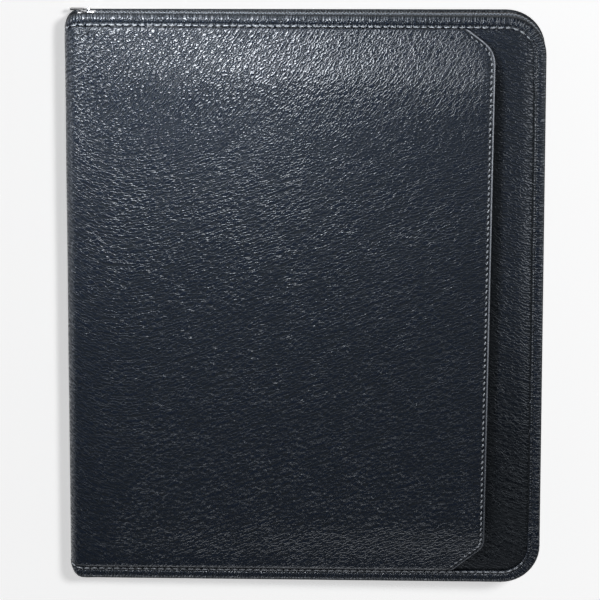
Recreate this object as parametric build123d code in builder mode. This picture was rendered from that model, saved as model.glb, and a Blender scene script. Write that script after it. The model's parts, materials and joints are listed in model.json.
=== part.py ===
from build123d import *
import os
from math import atan, cos, degrees, radians, sin, tan

os.makedirs("parts", exist_ok=True)

# A zippered padfolio lying closed on its back cover, in millimetres. X runs from the spine to the
# fore-edge, Y from tail to head and Z up. Cover coordinates start at the spine, x = 0 to x = width,
# and depths are measured inwards from a cover's outer face.

# Writing pad that the case is made for, and the room left round it
pad_width = 216.0
pad_length = 298.0
gutter_width = 45.0
pad_fore_gap = 12.0
pad_tail_gap = 18.0
pad_head_gap = 20.5

# Overall size of the closed case
width = gutter_width + pad_width + pad_fore_gap
height = pad_tail_gap + pad_length + pad_head_gap
corner_radius = 22.5
fold_radius = 6.0
gusset_height = 7.1
fore_rise = 8.0

# Thicknesses of the sewn layers
panel_thickness = 1.1
pocket_lining_thickness = 0.4
leather_thickness = 1.2
skive_depth = 0.7
foam_thickness = 0.6
front_board_thickness = 1.0
back_board_thickness = 1.4
lining_thickness = 0.5
spine_padding_thickness = 1.2
tape_thickness = 0.5

# Edge binding: a folded strip that grips the layers of a cover
binding_width = 7.0
binding_edge = 1.0
binding_flange = 0.6
binding_drop = 0.1
groove_width = 0.4

# Slip pocket on the front cover, open towards the fore-edge
mouth_setback = 31.0
mouth_gap = 6.0
seam_gap = 0.3
plateau_run = 26.0
head_sweep_run = 16.0
head_sweep_drop = 12.0
head_sweep_radius = 15.0
tail_cut_run = 16.0
tail_cut_rise = 16.0
tail_cut_radius = 9.0
pocket_hem = 4.0

# Zipper round the head, fore-edge and tail
tape_inset = 2.0
tooth_depth = 2.0
tooth_height = 1.1
post_gap = 0.8
tape_start = 7.2
stop_length = 2.0
slider_length = 8.5
slider_plate = 0.8
slider_clearance = 0.12
post_clearance = 0.15
post_length = 2.4
slider_side_clearance = 0.4
slider_corner = 1.2

# Pull tab, turning on a pin between two lugs
pin_radius = 0.42
pin_clearance = 0.08
eye_wall = 0.45
eye_width = 1.8
lug_thickness = 0.6
lug_clearance = 0.1
lug_length = 2.0
pull_length = 10.5
pull_width = 3.6
pull_thickness = 0.8
pull_neck = 2.2
pull_lift = 0.15

# Layers of the writing pad and its pocket on the back cover
paper_thickness = 5.0
card_thickness = 0.7
head_strip_length = 20.0
head_strip_thickness = 0.3
pad_pocket_length = 128.0
pad_pocket_thickness = 0.7
pad_pocket_margin = 2.5
pad_slack = 0.1

# Pen loop in the gutter
loop_pad_gap = 6.5
loop_head_gap = 88.0
loop_inner_width = 10.4
loop_inner_height = 5.2
loop_wall = 0.8
loop_length = 32.0

# Pockets inside the front cover
document_pocket_left = 40.0
document_pocket_margin = 9.0
document_pocket_length = 190.0
pocket_thickness = 0.5
card_pocket_left = 108.0
card_pocket_width = 98.0
card_pocket_length = 58.0
card_pocket_step = 16.0
card_pocket_tail = 30.0
window_width = 98.0
window_length = 70.0
window_frame = 8.0
window_rise = 14.0
window_sheet_thickness = 0.3

# Clearance on each side of the cut where a cover meets the spine
mitre_clearance = 0.15

# Depths of the layers of each cover
back_board_top = leather_thickness
back_lining_top = back_board_top + back_board_thickness
back_flange_top = back_lining_top + lining_thickness
back_stack = back_flange_top + binding_flange

base_top = panel_thickness + pocket_lining_thickness
base_skive = base_top + skive_depth
foam_top = base_top + leather_thickness
front_board_top = foam_top + foam_thickness
front_lining_top = front_board_top + front_board_thickness
front_flange_top = front_lining_top + lining_thickness
front_stack = front_flange_top + binding_flange

spine_padding_top = panel_thickness
spine_lining_top = spine_padding_top + spine_padding_thickness
spine_flange_top = spine_lining_top + lining_thickness
spine_stack = spine_flange_top + binding_flange

# The closed case is a wedge: the front cover slopes up from the spine to the fore-edge
spine_height = back_stack + gusset_height + front_stack
slope = atan(fore_rise / width)
half_slope = slope / 2
spine_x = -width / 2
half_height = height / 2
field_inset = binding_width + groove_width
layer_inset = binding_edge

back_plane = Plane(origin=(spine_x, 0, 0), x_dir=(1, 0, 0), z_dir=(0, 0, 1))
front_plane = Plane(
    origin=(spine_x, 0, spine_height),
    x_dir=(cos(slope), 0, sin(slope)),
    z_dir=(-sin(slope), 0, cos(slope)),
)
tooth_plane = Plane(
    origin=(spine_x, 0, back_stack + gusset_height / 2),
    x_dir=(cos(half_slope), 0, sin(half_slope)),
    z_dir=(-sin(half_slope), 0, cos(half_slope)),
)

# The leather rolls round the spine in two quarter turns. Each is cut in the middle, where the hinge is.
lower_roll = (spine_x + fold_radius, fold_radius)
upper_roll = (
    spine_x + fold_radius,
    spine_height + fold_radius * tan(slope) - fold_radius / cos(slope),
)
front_fold = fold_radius / tan(radians(45) + half_slope)
mitre_angle = degrees(mitre_clearance / fold_radius)
lower_mitre = 225.0
upper_mitre = 135.0 + degrees(slope) / 2


def draw_cover(left, inset, mode=Mode.ADD):
    # Outline of a cover with its two fore-edge corners rounded, moved in by inset on three sides
    right = width - inset
    top = half_height - inset
    corner = corner_radius - inset
    with BuildLine() as outline:
        Line((left, -top), (right - corner, -top))
        CenterArc((right - corner, corner - top), corner, 270, 90)
        Line((right, corner - top), (right, top - corner))
        CenterArc((right - corner, top - corner), corner, 0, 90)
        Line((right - corner, top), (left, top))
        Line((left, top), (left, -top))
    make_face(outline.edges(), mode=mode)


def draw_edge_band(left, outer, inner):
    # Band along head, fore-edge and tail between two insets
    draw_cover(left, outer)
    draw_cover(left - width, inner, mode=Mode.SUBTRACT)


def draw_rectangle(left, right, bottom, top, mode=Mode.ADD):
    with Locations(((left + right) / 2, (bottom + top) / 2)):
        Rectangle(right - left, top - bottom, mode=mode)


def draw_roll(centre, depth, under, start, end):
    # Part of a rolled layer, in the section across the spine
    with BuildLine() as outline:
        outer = CenterArc(centre, fold_radius - depth, start, end - start)
        inner = CenterArc(centre, fold_radius - under, start, end - start)
        Line(outer @ 0, inner @ 0)
        Line(outer @ 1, inner @ 1)
    make_face(outline.edges())


def draw_back_roll(depth, under):
    draw_roll(lower_roll, depth, under, lower_mitre + mitre_angle, 270)


def draw_front_roll(depth, under):
    draw_roll(upper_roll, depth, under, 90 + degrees(slope), upper_mitre - mitre_angle)


def draw_spine(depth, under):
    draw_roll(lower_roll, depth, under, 180, lower_mitre - mitre_angle)
    draw_roll(upper_roll, depth, under, upper_mitre + mitre_angle, 180)
    draw_rectangle(spine_x + depth, spine_x + under, lower_roll[1], upper_roll[1])


# Back cover

with BuildPart() as back_leather:
    with BuildSketch(back_plane):
        draw_cover(fold_radius, field_inset)
    extrude(amount=skive_depth)
    with BuildSketch(back_plane.offset(skive_depth)):
        draw_cover(fold_radius, layer_inset)
    extrude(amount=leather_thickness - skive_depth)
    with BuildSketch(Plane.XZ):
        draw_back_roll(0, skive_depth)
    extrude(amount=half_height - field_inset, both=True)
    with BuildSketch(Plane.XZ):
        draw_back_roll(skive_depth, leather_thickness)
    extrude(amount=half_height - layer_inset, both=True)
back_leather.part.label = "back_leather"
export_step(back_leather.part, "parts/back_leather.step")

with BuildPart() as back_board:
    with BuildSketch(back_plane.offset(back_board_top)):
        draw_cover(fold_radius, layer_inset)
    extrude(amount=back_board_thickness)
back_board.part.label = "back_board"
export_step(back_board.part, "parts/back_board.step")

with BuildPart() as back_lining:
    with BuildSketch(back_plane.offset(back_lining_top)):
        draw_cover(fold_radius, layer_inset)
    extrude(amount=lining_thickness)
    with BuildSketch(Plane.XZ):
        draw_back_roll(back_lining_top, back_flange_top)
    extrude(amount=half_height - layer_inset, both=True)
back_lining.part.label = "back_lining"
export_step(back_lining.part, "parts/back_lining.step")

with BuildPart() as back_binding:
    with BuildSketch(back_plane.offset(binding_drop)):
        draw_edge_band(fold_radius, 0, binding_width)
    extrude(amount=skive_depth - binding_drop)
    with BuildSketch(back_plane.offset(binding_drop)):
        draw_edge_band(fold_radius, 0, binding_edge)
    extrude(amount=back_stack - binding_drop)
    with BuildSketch(back_plane.offset(back_flange_top)):
        draw_edge_band(fold_radius, 0, binding_width)
    extrude(amount=binding_flange)
    for side in (1, -1):
        end_plane = Plane.XZ.offset(-side * half_height)
        with BuildSketch(end_plane):
            draw_back_roll(binding_drop, skive_depth)
            draw_back_roll(back_flange_top, back_stack)
        extrude(amount=side * binding_width)
        with BuildSketch(end_plane):
            draw_back_roll(binding_drop, back_stack)
        extrude(amount=side * binding_edge)
back_binding.part.label = "back_binding"
export_step(back_binding.part, "parts/back_binding.step")

# Writing pad and pen loop on the back cover

pad_left = gutter_width
pad_right = pad_left + pad_width
pad_tail = -half_height + pad_tail_gap
pad_head = pad_tail + pad_length
card_top = back_flange_top + card_thickness
pocket_under = card_top + pad_slack
paper_under = pocket_under + pad_pocket_thickness + pad_slack
paper_top = paper_under + paper_thickness
pad_pocket_left = pad_left - pad_pocket_margin
pad_pocket_right = pad_right + pad_pocket_margin
pad_pocket_tail = pad_tail - pad_pocket_margin
pad_pocket_head = pad_pocket_tail + pad_pocket_length

with BuildPart() as pad_backing_card:
    with BuildSketch(back_plane.offset(back_flange_top)):
        draw_rectangle(pad_left, pad_right, pad_tail, pad_head)
    extrude(amount=card_thickness)
pad_backing_card.part.label = "pad_backing_card"
export_step(pad_backing_card.part, "parts/pad_backing_card.step")

with BuildPart() as pad_pocket:
    with BuildSketch(back_plane.offset(pocket_under)):
        draw_rectangle(pad_pocket_left, pad_pocket_right, pad_pocket_tail, pad_pocket_head)
        draw_cover(0, field_inset, mode=Mode.INTERSECT)
    extrude(amount=pad_pocket_thickness)
    with BuildSketch(back_plane.offset(back_flange_top)):
        draw_rectangle(pad_pocket_left, pad_pocket_right, pad_pocket_tail, pad_pocket_head)
        draw_cover(0, field_inset, mode=Mode.INTERSECT)
        draw_rectangle(
            pad_left - pad_slack,
            pad_right + pad_slack,
            pad_tail - pad_slack,
            pad_head,
            mode=Mode.SUBTRACT,
        )
    extrude(amount=pocket_under - back_flange_top)
pad_pocket.part.label = "pad_pocket"
export_step(pad_pocket.part, "parts/pad_pocket.step")

with BuildPart() as pad_paper_block:
    with BuildSketch(back_plane.offset(paper_under)):
        draw_rectangle(pad_left, pad_right, pad_tail, pad_head)
    extrude(amount=paper_thickness)
pad_paper_block.part.label = "pad_paper_block"
export_step(pad_paper_block.part, "parts/pad_paper_block.step")

with BuildPart() as pad_head_strip:
    with BuildSketch(back_plane.offset(paper_top)):
        draw_rectangle(pad_left, pad_right, pad_head - head_strip_length, pad_head + head_strip_thickness)
    extrude(amount=head_strip_thickness)
    with BuildSketch(back_plane.offset(back_flange_top)):
        draw_rectangle(pad_left, pad_right, pad_head, pad_head + head_strip_thickness)
    extrude(amount=paper_top - back_flange_top)
pad_head_strip.part.label = "pad_head_strip"
export_step(pad_head_strip.part, "parts/pad_head_strip.step")

loop_centre = pad_pocket_left - loop_pad_gap - loop_wall - loop_inner_width / 2
loop_y = half_height - loop_head_gap
loop_z = back_flange_top + loop_wall + loop_inner_height / 2

with BuildPart() as pen_loop:
    with BuildSketch(Plane.XZ.offset(-loop_y)):
        with Locations((spine_x + loop_centre, loop_z)):
            SlotOverall(loop_inner_width + 2 * loop_wall, loop_inner_height + 2 * loop_wall)
            SlotOverall(loop_inner_width, loop_inner_height, mode=Mode.SUBTRACT)
    extrude(amount=loop_length / 2, both=True)
pen_loop.part.label = "pen_loop"
export_step(pen_loop.part, "parts/pen_loop.step")

# Spine

with BuildPart() as spine_leather:
    with BuildSketch(Plane.XZ):
        draw_spine(0, skive_depth)
    extrude(amount=half_height - field_inset, both=True)
    with BuildSketch(Plane.XZ):
        draw_spine(skive_depth, spine_padding_top)
    extrude(amount=half_height - layer_inset, both=True)
spine_leather.part.label = "spine_leather"
export_step(spine_leather.part, "parts/spine_leather.step")

with BuildPart() as spine_padding:
    with BuildSketch(Plane.XZ):
        draw_spine(spine_padding_top, spine_lining_top)
    extrude(amount=half_height - layer_inset, both=True)
spine_padding.part.label = "spine_padding"
export_step(spine_padding.part, "parts/spine_padding.step")

with BuildPart() as spine_lining:
    with BuildSketch(Plane.XZ):
        draw_spine(spine_lining_top, spine_flange_top)
    extrude(amount=half_height - layer_inset, both=True)
spine_lining.part.label = "spine_lining"
export_step(spine_lining.part, "parts/spine_lining.step")

with BuildPart() as spine_end_bindings:
    for side in (1, -1):
        end_plane = Plane.XZ.offset(-side * half_height)
        with BuildSketch(end_plane):
            draw_spine(binding_drop, skive_depth)
            draw_spine(spine_flange_top, spine_stack)
        extrude(amount=side * binding_width)
        with BuildSketch(end_plane):
            draw_spine(binding_drop, spine_stack)
        extrude(amount=side * binding_edge)
spine_end_bindings.part.label = "spine_end_bindings"
export_step(spine_end_bindings.part, "parts/spine_end_bindings.step")

# Front cover

with BuildPart() as front_leather:
    with BuildSketch(front_plane.offset(-base_skive)):
        draw_cover(front_fold, field_inset)
    extrude(amount=skive_depth)
    with BuildSketch(front_plane.offset(-foam_top)):
        draw_cover(front_fold, layer_inset)
    extrude(amount=leather_thickness - skive_depth)
    with BuildSketch(Plane.XZ):
        draw_front_roll(base_top, base_skive)
    extrude(amount=half_height - field_inset, both=True)
    with BuildSketch(Plane.XZ):
        draw_front_roll(base_skive, foam_top)
    extrude(amount=half_height - layer_inset, both=True)
front_leather.part.label = "front_leather"
export_step(front_leather.part, "parts/front_leather.step")

with BuildPart() as front_foam:
    with BuildSketch(front_plane.offset(-front_board_top)):
        draw_cover(front_fold, layer_inset)
    extrude(amount=foam_thickness)
front_foam.part.label = "front_foam"
export_step(front_foam.part, "parts/front_foam.step")

with BuildPart() as front_board:
    with BuildSketch(front_plane.offset(-front_lining_top)):
        draw_cover(front_fold, layer_inset)
    extrude(amount=front_board_thickness)
front_board.part.label = "front_board"
export_step(front_board.part, "parts/front_board.step")

with BuildPart() as front_lining:
    with BuildSketch(front_plane.offset(-front_flange_top)):
        draw_cover(front_fold, layer_inset)
    extrude(amount=lining_thickness)
    with BuildSketch(Plane.XZ):
        draw_front_roll(front_lining_top, front_flange_top)
    extrude(amount=half_height - layer_inset, both=True)
front_lining.part.label = "front_lining"
export_step(front_lining.part, "parts/front_lining.step")

with BuildPart() as front_binding:
    with BuildSketch(front_plane.offset(-base_skive)):
        draw_edge_band(front_fold, 0, binding_width)
    extrude(amount=skive_depth - binding_drop)
    with BuildSketch(front_plane.offset(-front_stack)):
        draw_edge_band(front_fold, 0, binding_edge)
    extrude(amount=front_stack - base_top - binding_drop)
    with BuildSketch(front_plane.offset(-front_stack)):
        draw_edge_band(front_fold, 0, binding_width)
    extrude(amount=binding_flange)
    for side in (1, -1):
        end_plane = Plane.XZ.offset(-side * half_height)
        with BuildSketch(end_plane):
            draw_front_roll(base_top + binding_drop, base_skive)
            draw_front_roll(front_flange_top, front_stack)
        extrude(amount=side * binding_width)
        with BuildSketch(end_plane):
            draw_front_roll(base_top + binding_drop, front_stack)
        extrude(amount=side * binding_edge)
front_binding.part.label = "front_binding"
export_step(front_binding.part, "parts/front_binding.step")

# Slip pocket: a sheet that rises from its seams to an open mouth near the fore-edge

mouth_x = width - mouth_setback
seam_y = half_height - field_inset
plateau_y = seam_y - plateau_run


def pocket_section(x):
    # Plane across the cover at a distance from the spine, with its x along +Y
    centre = front_plane.from_local_coords(Vector(x, 0, 0))
    return Plane(origin=centre, x_dir=(0, 1, 0), z_dir=front_plane.x_dir)


def draw_pocket_profile(top, under, gap):
    with BuildLine() as outline:
        Polyline(
            (-seam_y, -under),
            (-plateau_y, gap - under),
            (plateau_y, gap - under),
            (seam_y, -under),
            (seam_y, -top),
            (plateau_y, gap - top),
            (-plateau_y, gap - top),
            (-seam_y, -top),
            close=True,
        )
    make_face(outline.edges())


def draw_pocket_outline(hem):
    # The free edge runs into each seam by a slanted cut, with a wide bend at the head and a tighter one at the tail
    right = mouth_x - hem
    with BuildLine() as outline:
        Line((front_fold, -seam_y), (right - tail_cut_run, -seam_y))
        FilletPolyline(
            (right - tail_cut_run, -seam_y),
            (right, -seam_y + tail_cut_rise),
            (right, 0),
            radius=tail_cut_radius,
        )
        FilletPolyline(
            (right, 0),
            (right, seam_y - head_sweep_drop),
            (right - head_sweep_run, seam_y),
            radius=head_sweep_radius,
        )
        Line((right - head_sweep_run, seam_y), (front_fold, seam_y))
        Line((front_fold, seam_y), (front_fold, -seam_y))
    make_face(outline.edges())


with BuildPart() as slip_pocket_panel:
    with BuildSketch(pocket_section(front_fold)):
        draw_pocket_profile(0, panel_thickness, seam_gap)
    with BuildSketch(pocket_section(mouth_x)):
        draw_pocket_profile(0, panel_thickness, mouth_gap)
    loft(ruled=True)
    with BuildSketch(front_plane.offset(-base_top)):
        draw_pocket_outline(0)
    extrude(amount=base_top + 2 * mouth_gap, mode=Mode.INTERSECT)
    with BuildSketch(Plane.XZ):
        draw_front_roll(0, panel_thickness)
    extrude(amount=seam_y, both=True)
slip_pocket_panel.part.label = "slip_pocket_panel"
export_step(slip_pocket_panel.part, "parts/slip_pocket_panel.step")

with BuildPart() as slip_pocket_lining:
    with BuildSketch(pocket_section(front_fold)):
        draw_pocket_profile(panel_thickness, base_top, seam_gap)
    with BuildSketch(pocket_section(mouth_x)):
        draw_pocket_profile(panel_thickness, base_top, mouth_gap)
    loft(ruled=True)
    with BuildSketch(front_plane.offset(-base_top)):
        draw_pocket_outline(pocket_hem)
    extrude(amount=base_top + 2 * mouth_gap, mode=Mode.INTERSECT)
slip_pocket_lining.part.label = "slip_pocket_lining"
export_step(slip_pocket_lining.part, "parts/slip_pocket_lining.step")

# Pockets inside the front cover

document_tail = -half_height + document_pocket_margin
document_head = document_tail + document_pocket_length
card_depth = front_flange_top + pocket_thickness
card_right = card_pocket_left + card_pocket_width
card_tail = document_tail + card_pocket_tail
window_tail = document_head + window_rise
window_right = card_pocket_left + window_width

with BuildPart() as document_pocket:
    with BuildSketch(front_plane.offset(-card_depth)):
        draw_cover(document_pocket_left, document_pocket_margin)
        draw_rectangle(0, width, document_head, half_height, mode=Mode.SUBTRACT)
    extrude(amount=pocket_thickness)
document_pocket.part.label = "document_pocket"
export_step(document_pocket.part, "parts/document_pocket.step")

# Three card pockets in a ladder, each on the one before and shorter by a step
for place, node in enumerate(("card_pocket_rear", "card_pocket_middle", "card_pocket_front")):
    with BuildPart() as card_pocket:
        with BuildSketch(front_plane.offset(-card_depth - (place + 1) * pocket_thickness)):
            card_head = card_tail + card_pocket_length - place * card_pocket_step
            draw_rectangle(card_pocket_left, card_right, card_tail, card_head)
        extrude(amount=pocket_thickness)
    card_pocket.part.label = node
    export_step(card_pocket.part, "parts/" + node + ".step")

with BuildPart() as window_pocket_sheet:
    with BuildSketch(front_plane.offset(-front_flange_top - window_sheet_thickness)):
        draw_rectangle(card_pocket_left, window_right, window_tail, window_tail + window_length)
    extrude(amount=window_sheet_thickness)
window_pocket_sheet.part.label = "window_pocket_sheet"
export_step(window_pocket_sheet.part, "parts/window_pocket_sheet.step")

with BuildPart() as window_pocket_frame:
    frame_depth = front_flange_top + window_sheet_thickness + pocket_thickness
    with BuildSketch(front_plane.offset(-frame_depth)):
        draw_rectangle(card_pocket_left, window_right, window_tail, window_tail + window_length)
        draw_rectangle(
            card_pocket_left + window_frame,
            window_right - window_frame,
            window_tail + window_frame,
            window_tail + window_length - window_frame,
            mode=Mode.SUBTRACT,
        )
    extrude(amount=pocket_thickness)
window_pocket_frame.part.label = "window_pocket_frame"
export_step(window_pocket_frame.part, "parts/window_pocket_frame.step")

# Zipper tapes: a flange sewn to each binding and a wall that carries the teeth

wall_outer = tape_inset - tape_thickness / 2
wall_inner = tape_inset + tape_thickness / 2
tooth_outer = tape_inset - tooth_depth / 2
tooth_inner = tape_inset + tooth_depth / 2
teeth_half = post_gap / 2 + tooth_height
teeth_start = tape_start + stop_length

with BuildPart() as back_zipper_tape:
    with BuildSketch(back_plane.offset(back_stack)):
        draw_edge_band(tape_start, wall_outer, binding_width)
    extrude(amount=tape_thickness)
    with BuildSketch(back_plane.offset(back_stack)):
        draw_edge_band(tape_start, wall_outer, wall_inner)
    extrude(amount=gusset_height + fore_rise)
    split(bisect_by=tooth_plane.offset(-teeth_half), keep=Keep.BOTTOM)
back_zipper_tape.part.label = "back_zipper_tape"
export_step(back_zipper_tape.part, "parts/back_zipper_tape.step")

with BuildPart() as front_zipper_tape:
    with BuildSketch(front_plane.offset(-front_stack - tape_thickness)):
        draw_edge_band(tape_start, wall_outer, binding_width)
    extrude(amount=tape_thickness)
    with BuildSketch(front_plane.offset(-front_stack)):
        draw_edge_band(tape_start, wall_outer, wall_inner)
    extrude(amount=-gusset_height - fore_rise)
    split(bisect_by=tooth_plane.offset(teeth_half), keep=Keep.TOP)
front_zipper_tape.part.label = "front_zipper_tape"
export_step(front_zipper_tape.part, "parts/front_zipper_tape.step")

# Rows of teeth, as plain beads, and the metal stops at their ends

with BuildPart() as back_zipper_teeth:
    with BuildSketch(tooth_plane.offset(-teeth_half)):
        draw_edge_band(teeth_start, tooth_outer, tooth_inner)
    extrude(amount=tooth_height)
back_zipper_teeth.part.label = "back_zipper_teeth"
export_step(back_zipper_teeth.part, "parts/back_zipper_teeth.step")

with BuildPart() as front_zipper_teeth:
    with BuildSketch(tooth_plane.offset(post_gap / 2)):
        draw_edge_band(teeth_start, tooth_outer, tooth_inner)
    extrude(amount=tooth_height)
front_zipper_teeth.part.label = "front_zipper_teeth"
export_step(front_zipper_teeth.part, "parts/front_zipper_teeth.step")

for node, level in (("back_end_stops", -teeth_half), ("front_end_stops", post_gap / 2)):
    with BuildPart() as end_stops:
        with BuildSketch(tooth_plane.offset(level)):
            for side in (1, -1):
                with Locations((tape_start + stop_length / 2, side * (half_height - tape_inset))):
                    Rectangle(stop_length, tooth_depth)
        extrude(amount=tooth_height)
    end_stops.part.label = node
    export_step(end_stops.part, "parts/" + node + ".step")

# Slider, parked at the head end of the spine. Its post runs in the gap between the two rows of teeth, and
# its flanges hold the back row only, so the front cover can swing away from it.

slider_park = teeth_start + slider_length / 2
slider_width = gusset_height - 2 * tape_thickness - 2 * slider_side_clearance
plate_level = tooth_depth / 2 + slider_clearance
flange_level = tape_thickness / 2 + slider_clearance
flange_from = teeth_half + slider_clearance
slider_plane = Plane(
    origin=tooth_plane.from_local_coords(Vector(slider_park, half_height - tape_inset, 0)),
    x_dir=tooth_plane.x_dir,
    z_dir=(0, 1, 0),
)

with BuildPart() as slider_body:
    for side in (1, -1):
        with BuildSketch(slider_plane.offset(side * plate_level)):
            RectangleRounded(slider_length, slider_width, slider_corner)
        extrude(amount=side * slider_plate)
        with BuildSketch(slider_plane.offset(side * flange_level)):
            draw_rectangle(
                slider_corner - slider_length / 2,
                slider_length / 2 - slider_corner,
                flange_from,
                slider_width / 2,
            )
        extrude(amount=side * (plate_level - flange_level))
    with BuildSketch(slider_plane.offset(-plate_level)):
        with Locations((slider_length / 2 - slider_corner - post_length / 2, 0)):
            Rectangle(post_length, post_gap - 2 * post_clearance)
    extrude(amount=2 * plate_level)
slider_body.part.label = "slider_body"
export_step(slider_body.part, "parts/slider_body.step")

eye_hole = pin_radius + pin_clearance
eye_radius = eye_hole + eye_wall
pin_level = plate_level + slider_plate + eye_radius + pull_lift
lug_inner = eye_width / 2 + lug_clearance
pull_plane = Plane(
    origin=slider_plane.from_local_coords(Vector(0, 0, pin_level)),
    x_dir=tooth_plane.x_dir,
    z_dir=tooth_plane.z_dir,
)

with BuildPart() as slider_bail:
    with BuildSketch(slider_plane.offset(plate_level + slider_plate)):
        for side in (1, -1):
            with Locations((0, side * (lug_inner + lug_thickness / 2))):
                Rectangle(lug_length, lug_thickness)
    extrude(amount=eye_radius + pull_lift + eye_radius)
    with BuildSketch(pull_plane):
        Circle(pin_radius)
    extrude(amount=lug_inner + lug_thickness, both=True)
slider_bail.part.label = "slider_bail"
export_step(slider_bail.part, "parts/slider_bail.step")

with BuildPart() as pull_tab:
    with BuildSketch(pull_plane):
        Circle(eye_radius)
        draw_rectangle(-pull_neck - pull_thickness, 0, -pull_thickness / 2, pull_thickness / 2)
        Circle(eye_hole, mode=Mode.SUBTRACT)
    extrude(amount=eye_width / 2, both=True)
    with BuildSketch(pull_plane):
        draw_rectangle(-pull_length, -pull_neck, -pull_thickness / 2, pull_thickness / 2)
    extrude(amount=pull_width / 2, both=True)
pull_tab.part.label = "pull_tab"
export_step(pull_tab.part, "parts/pull_tab.step")
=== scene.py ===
# Zippered padfolio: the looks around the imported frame, in metres. Lengths are worked in millimetres first.
import json
import math
import random

import bmesh
import bpy
from mathutils import Matrix, Vector, noise


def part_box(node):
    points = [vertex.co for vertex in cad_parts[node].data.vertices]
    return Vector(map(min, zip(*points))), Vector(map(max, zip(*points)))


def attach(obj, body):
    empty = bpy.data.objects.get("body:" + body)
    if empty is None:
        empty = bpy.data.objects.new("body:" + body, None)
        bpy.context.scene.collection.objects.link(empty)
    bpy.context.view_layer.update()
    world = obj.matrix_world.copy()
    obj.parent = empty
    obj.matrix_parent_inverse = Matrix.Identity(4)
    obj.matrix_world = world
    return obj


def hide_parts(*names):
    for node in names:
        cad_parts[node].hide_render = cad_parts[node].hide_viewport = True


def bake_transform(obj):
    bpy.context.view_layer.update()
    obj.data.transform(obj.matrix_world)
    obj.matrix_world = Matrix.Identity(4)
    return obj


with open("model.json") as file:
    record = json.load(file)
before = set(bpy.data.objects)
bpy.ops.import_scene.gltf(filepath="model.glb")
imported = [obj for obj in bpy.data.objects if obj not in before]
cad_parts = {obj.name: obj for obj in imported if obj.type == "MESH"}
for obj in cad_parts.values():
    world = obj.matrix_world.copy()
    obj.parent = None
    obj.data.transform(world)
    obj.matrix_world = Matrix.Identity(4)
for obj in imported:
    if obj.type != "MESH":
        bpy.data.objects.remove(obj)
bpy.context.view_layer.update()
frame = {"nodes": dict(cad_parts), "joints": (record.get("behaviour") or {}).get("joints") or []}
scene = bpy.context.scene
scene.view_settings.view_transform = "Standard"
random.seed(7)
print("frame loaded")

# Sizes of the case, in millimetres, from the frame where a node gives them
mm = 0.001
travelAxis = next(j["axis"] for j in frame["joints"] if j["name"] == "slider_travel")
slope = 2 * math.atan2(travelAxis[2], travelAxis[0])  # the front cover rises to the fore edge
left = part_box("spine_leather")[0].x / mm
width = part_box("back_binding")[1].x / mm - left
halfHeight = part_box("back_binding")[1].y / mm
case = {
    "corner": 22.5,  # outer radius of the fore edge corners
    "fold": 6.0,  # outer radius where the leather rolls over the spine
    "spineEnd": 8.5,  # how far the spine's corners are rounded in, seen from above
    "spineDraw": 10.0,  # how far along the spine that rounding is felt
    "spineHeight": 16.2,
    "bindingWidth": 7.0,
    "fieldInset": 7.4,  # where the leather comes out from under the binding
    "toothLevel": 7.25,  # height of the zipper's middle at the spine
    "baseTop": 1.5,  # depth of the padded face under the slip pocket
    "mouth": 242.0,  # free edge of the slip pocket, from the spine
    "sweepStep": 3.0,  # spacing of what is swept along the straight edges
    "cornerTurns": 12,  # and its steps round a corner
}
cornerX = width - case["corner"]
cornerY = halfHeight - case["corner"]
frontPlace = Matrix.Translation((left, 0, case["spineHeight"])) @ Matrix.Rotation(-slope, 4, "Y")
toothPlace = Matrix.Translation((left, 0, case["toothLevel"])) @ Matrix.Rotation(-slope / 2, 4, "Y")
fold = case["fold"]
frontFold = fold / math.tan(math.radians(45) + slope / 2)
upperRoll = (left + fold, case["spineHeight"] + fold * math.tan(slope) - fold / math.cos(slope))
lowerRoll = (left + fold, fold)
frontArc = fold * (math.pi / 2 - slope)
backArc = fold * math.pi / 2
spineFlat = upperRoll[1] - lowerRoll[1]
frontStart = frontFold - frontArc - spineFlat / 2  # middle of the spine, along the front leather
backStart = fold - backArc - spineFlat / 2  # and along the back leather


def smooth(low, high, value):
    share = min(1.0, max(0.0, (value - low) / (high - low)))
    return share * share * (3 - 2 * share)


def lerp(a, b, share):
    return a + (b - a) * share


def bell(distance, wide):
    return math.exp(-(distance / wide) ** 2)


def wobble(x, y, z):
    # a slow random swing between about -1 and 1
    return noise.noise(Vector((x, y, z)))


def roundSpineEnd(x, y, z):
    # draws the head and tail in towards the spine, so its corners are round from above
    radius = case["spineEnd"]
    short = radius - min(radius, max(0.0, x - left))
    pull = radius - math.sqrt(radius * radius - short * short)
    near = math.exp(min(0.0, abs(y) - halfHeight) / case["spineDraw"])
    return Vector((x, y - math.copysign(pull * near, y), z))


def onRoll(roll, radius, angle, y):
    return roundSpineEnd(roll[0] + radius * math.cos(angle), y, roll[1] + radius * math.sin(angle))


def wrapFront(u, y, h):
    # a point of the front: u from the fold towards the fore edge, h outwards from the leather
    if u >= frontFold:
        return roundSpineEnd(*(frontPlace @ Vector((u, y, h))))
    if u >= frontFold - frontArc:
        return onRoll(upperRoll, fold + h, math.pi / 2 + slope + (frontFold - u) / fold, y)
    return roundSpineEnd(left - h, y, upperRoll[1] - (frontFold - frontArc - u))


def wrapBack(u, y, h):
    # the same for the back cover, which lies on the floor
    if u >= fold:
        return roundSpineEnd(left + u, y, -h)
    if u >= fold - backArc:
        return onRoll(lowerRoll, fold + h, 1.5 * math.pi - (fold - u) / fold, y)
    return roundSpineEnd(left - h, y, lowerRoll[1] + (fold - backArc - u))


def insetAt(u, y):
    # distance inwards from the head, fore or tail edge
    overX = u - cornerX
    overY = abs(y) - cornerY
    if overX > 0 and overY > 0:
        return case["corner"] - math.hypot(overX, overY)
    return min(width - u, halfHeight - abs(y))


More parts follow.
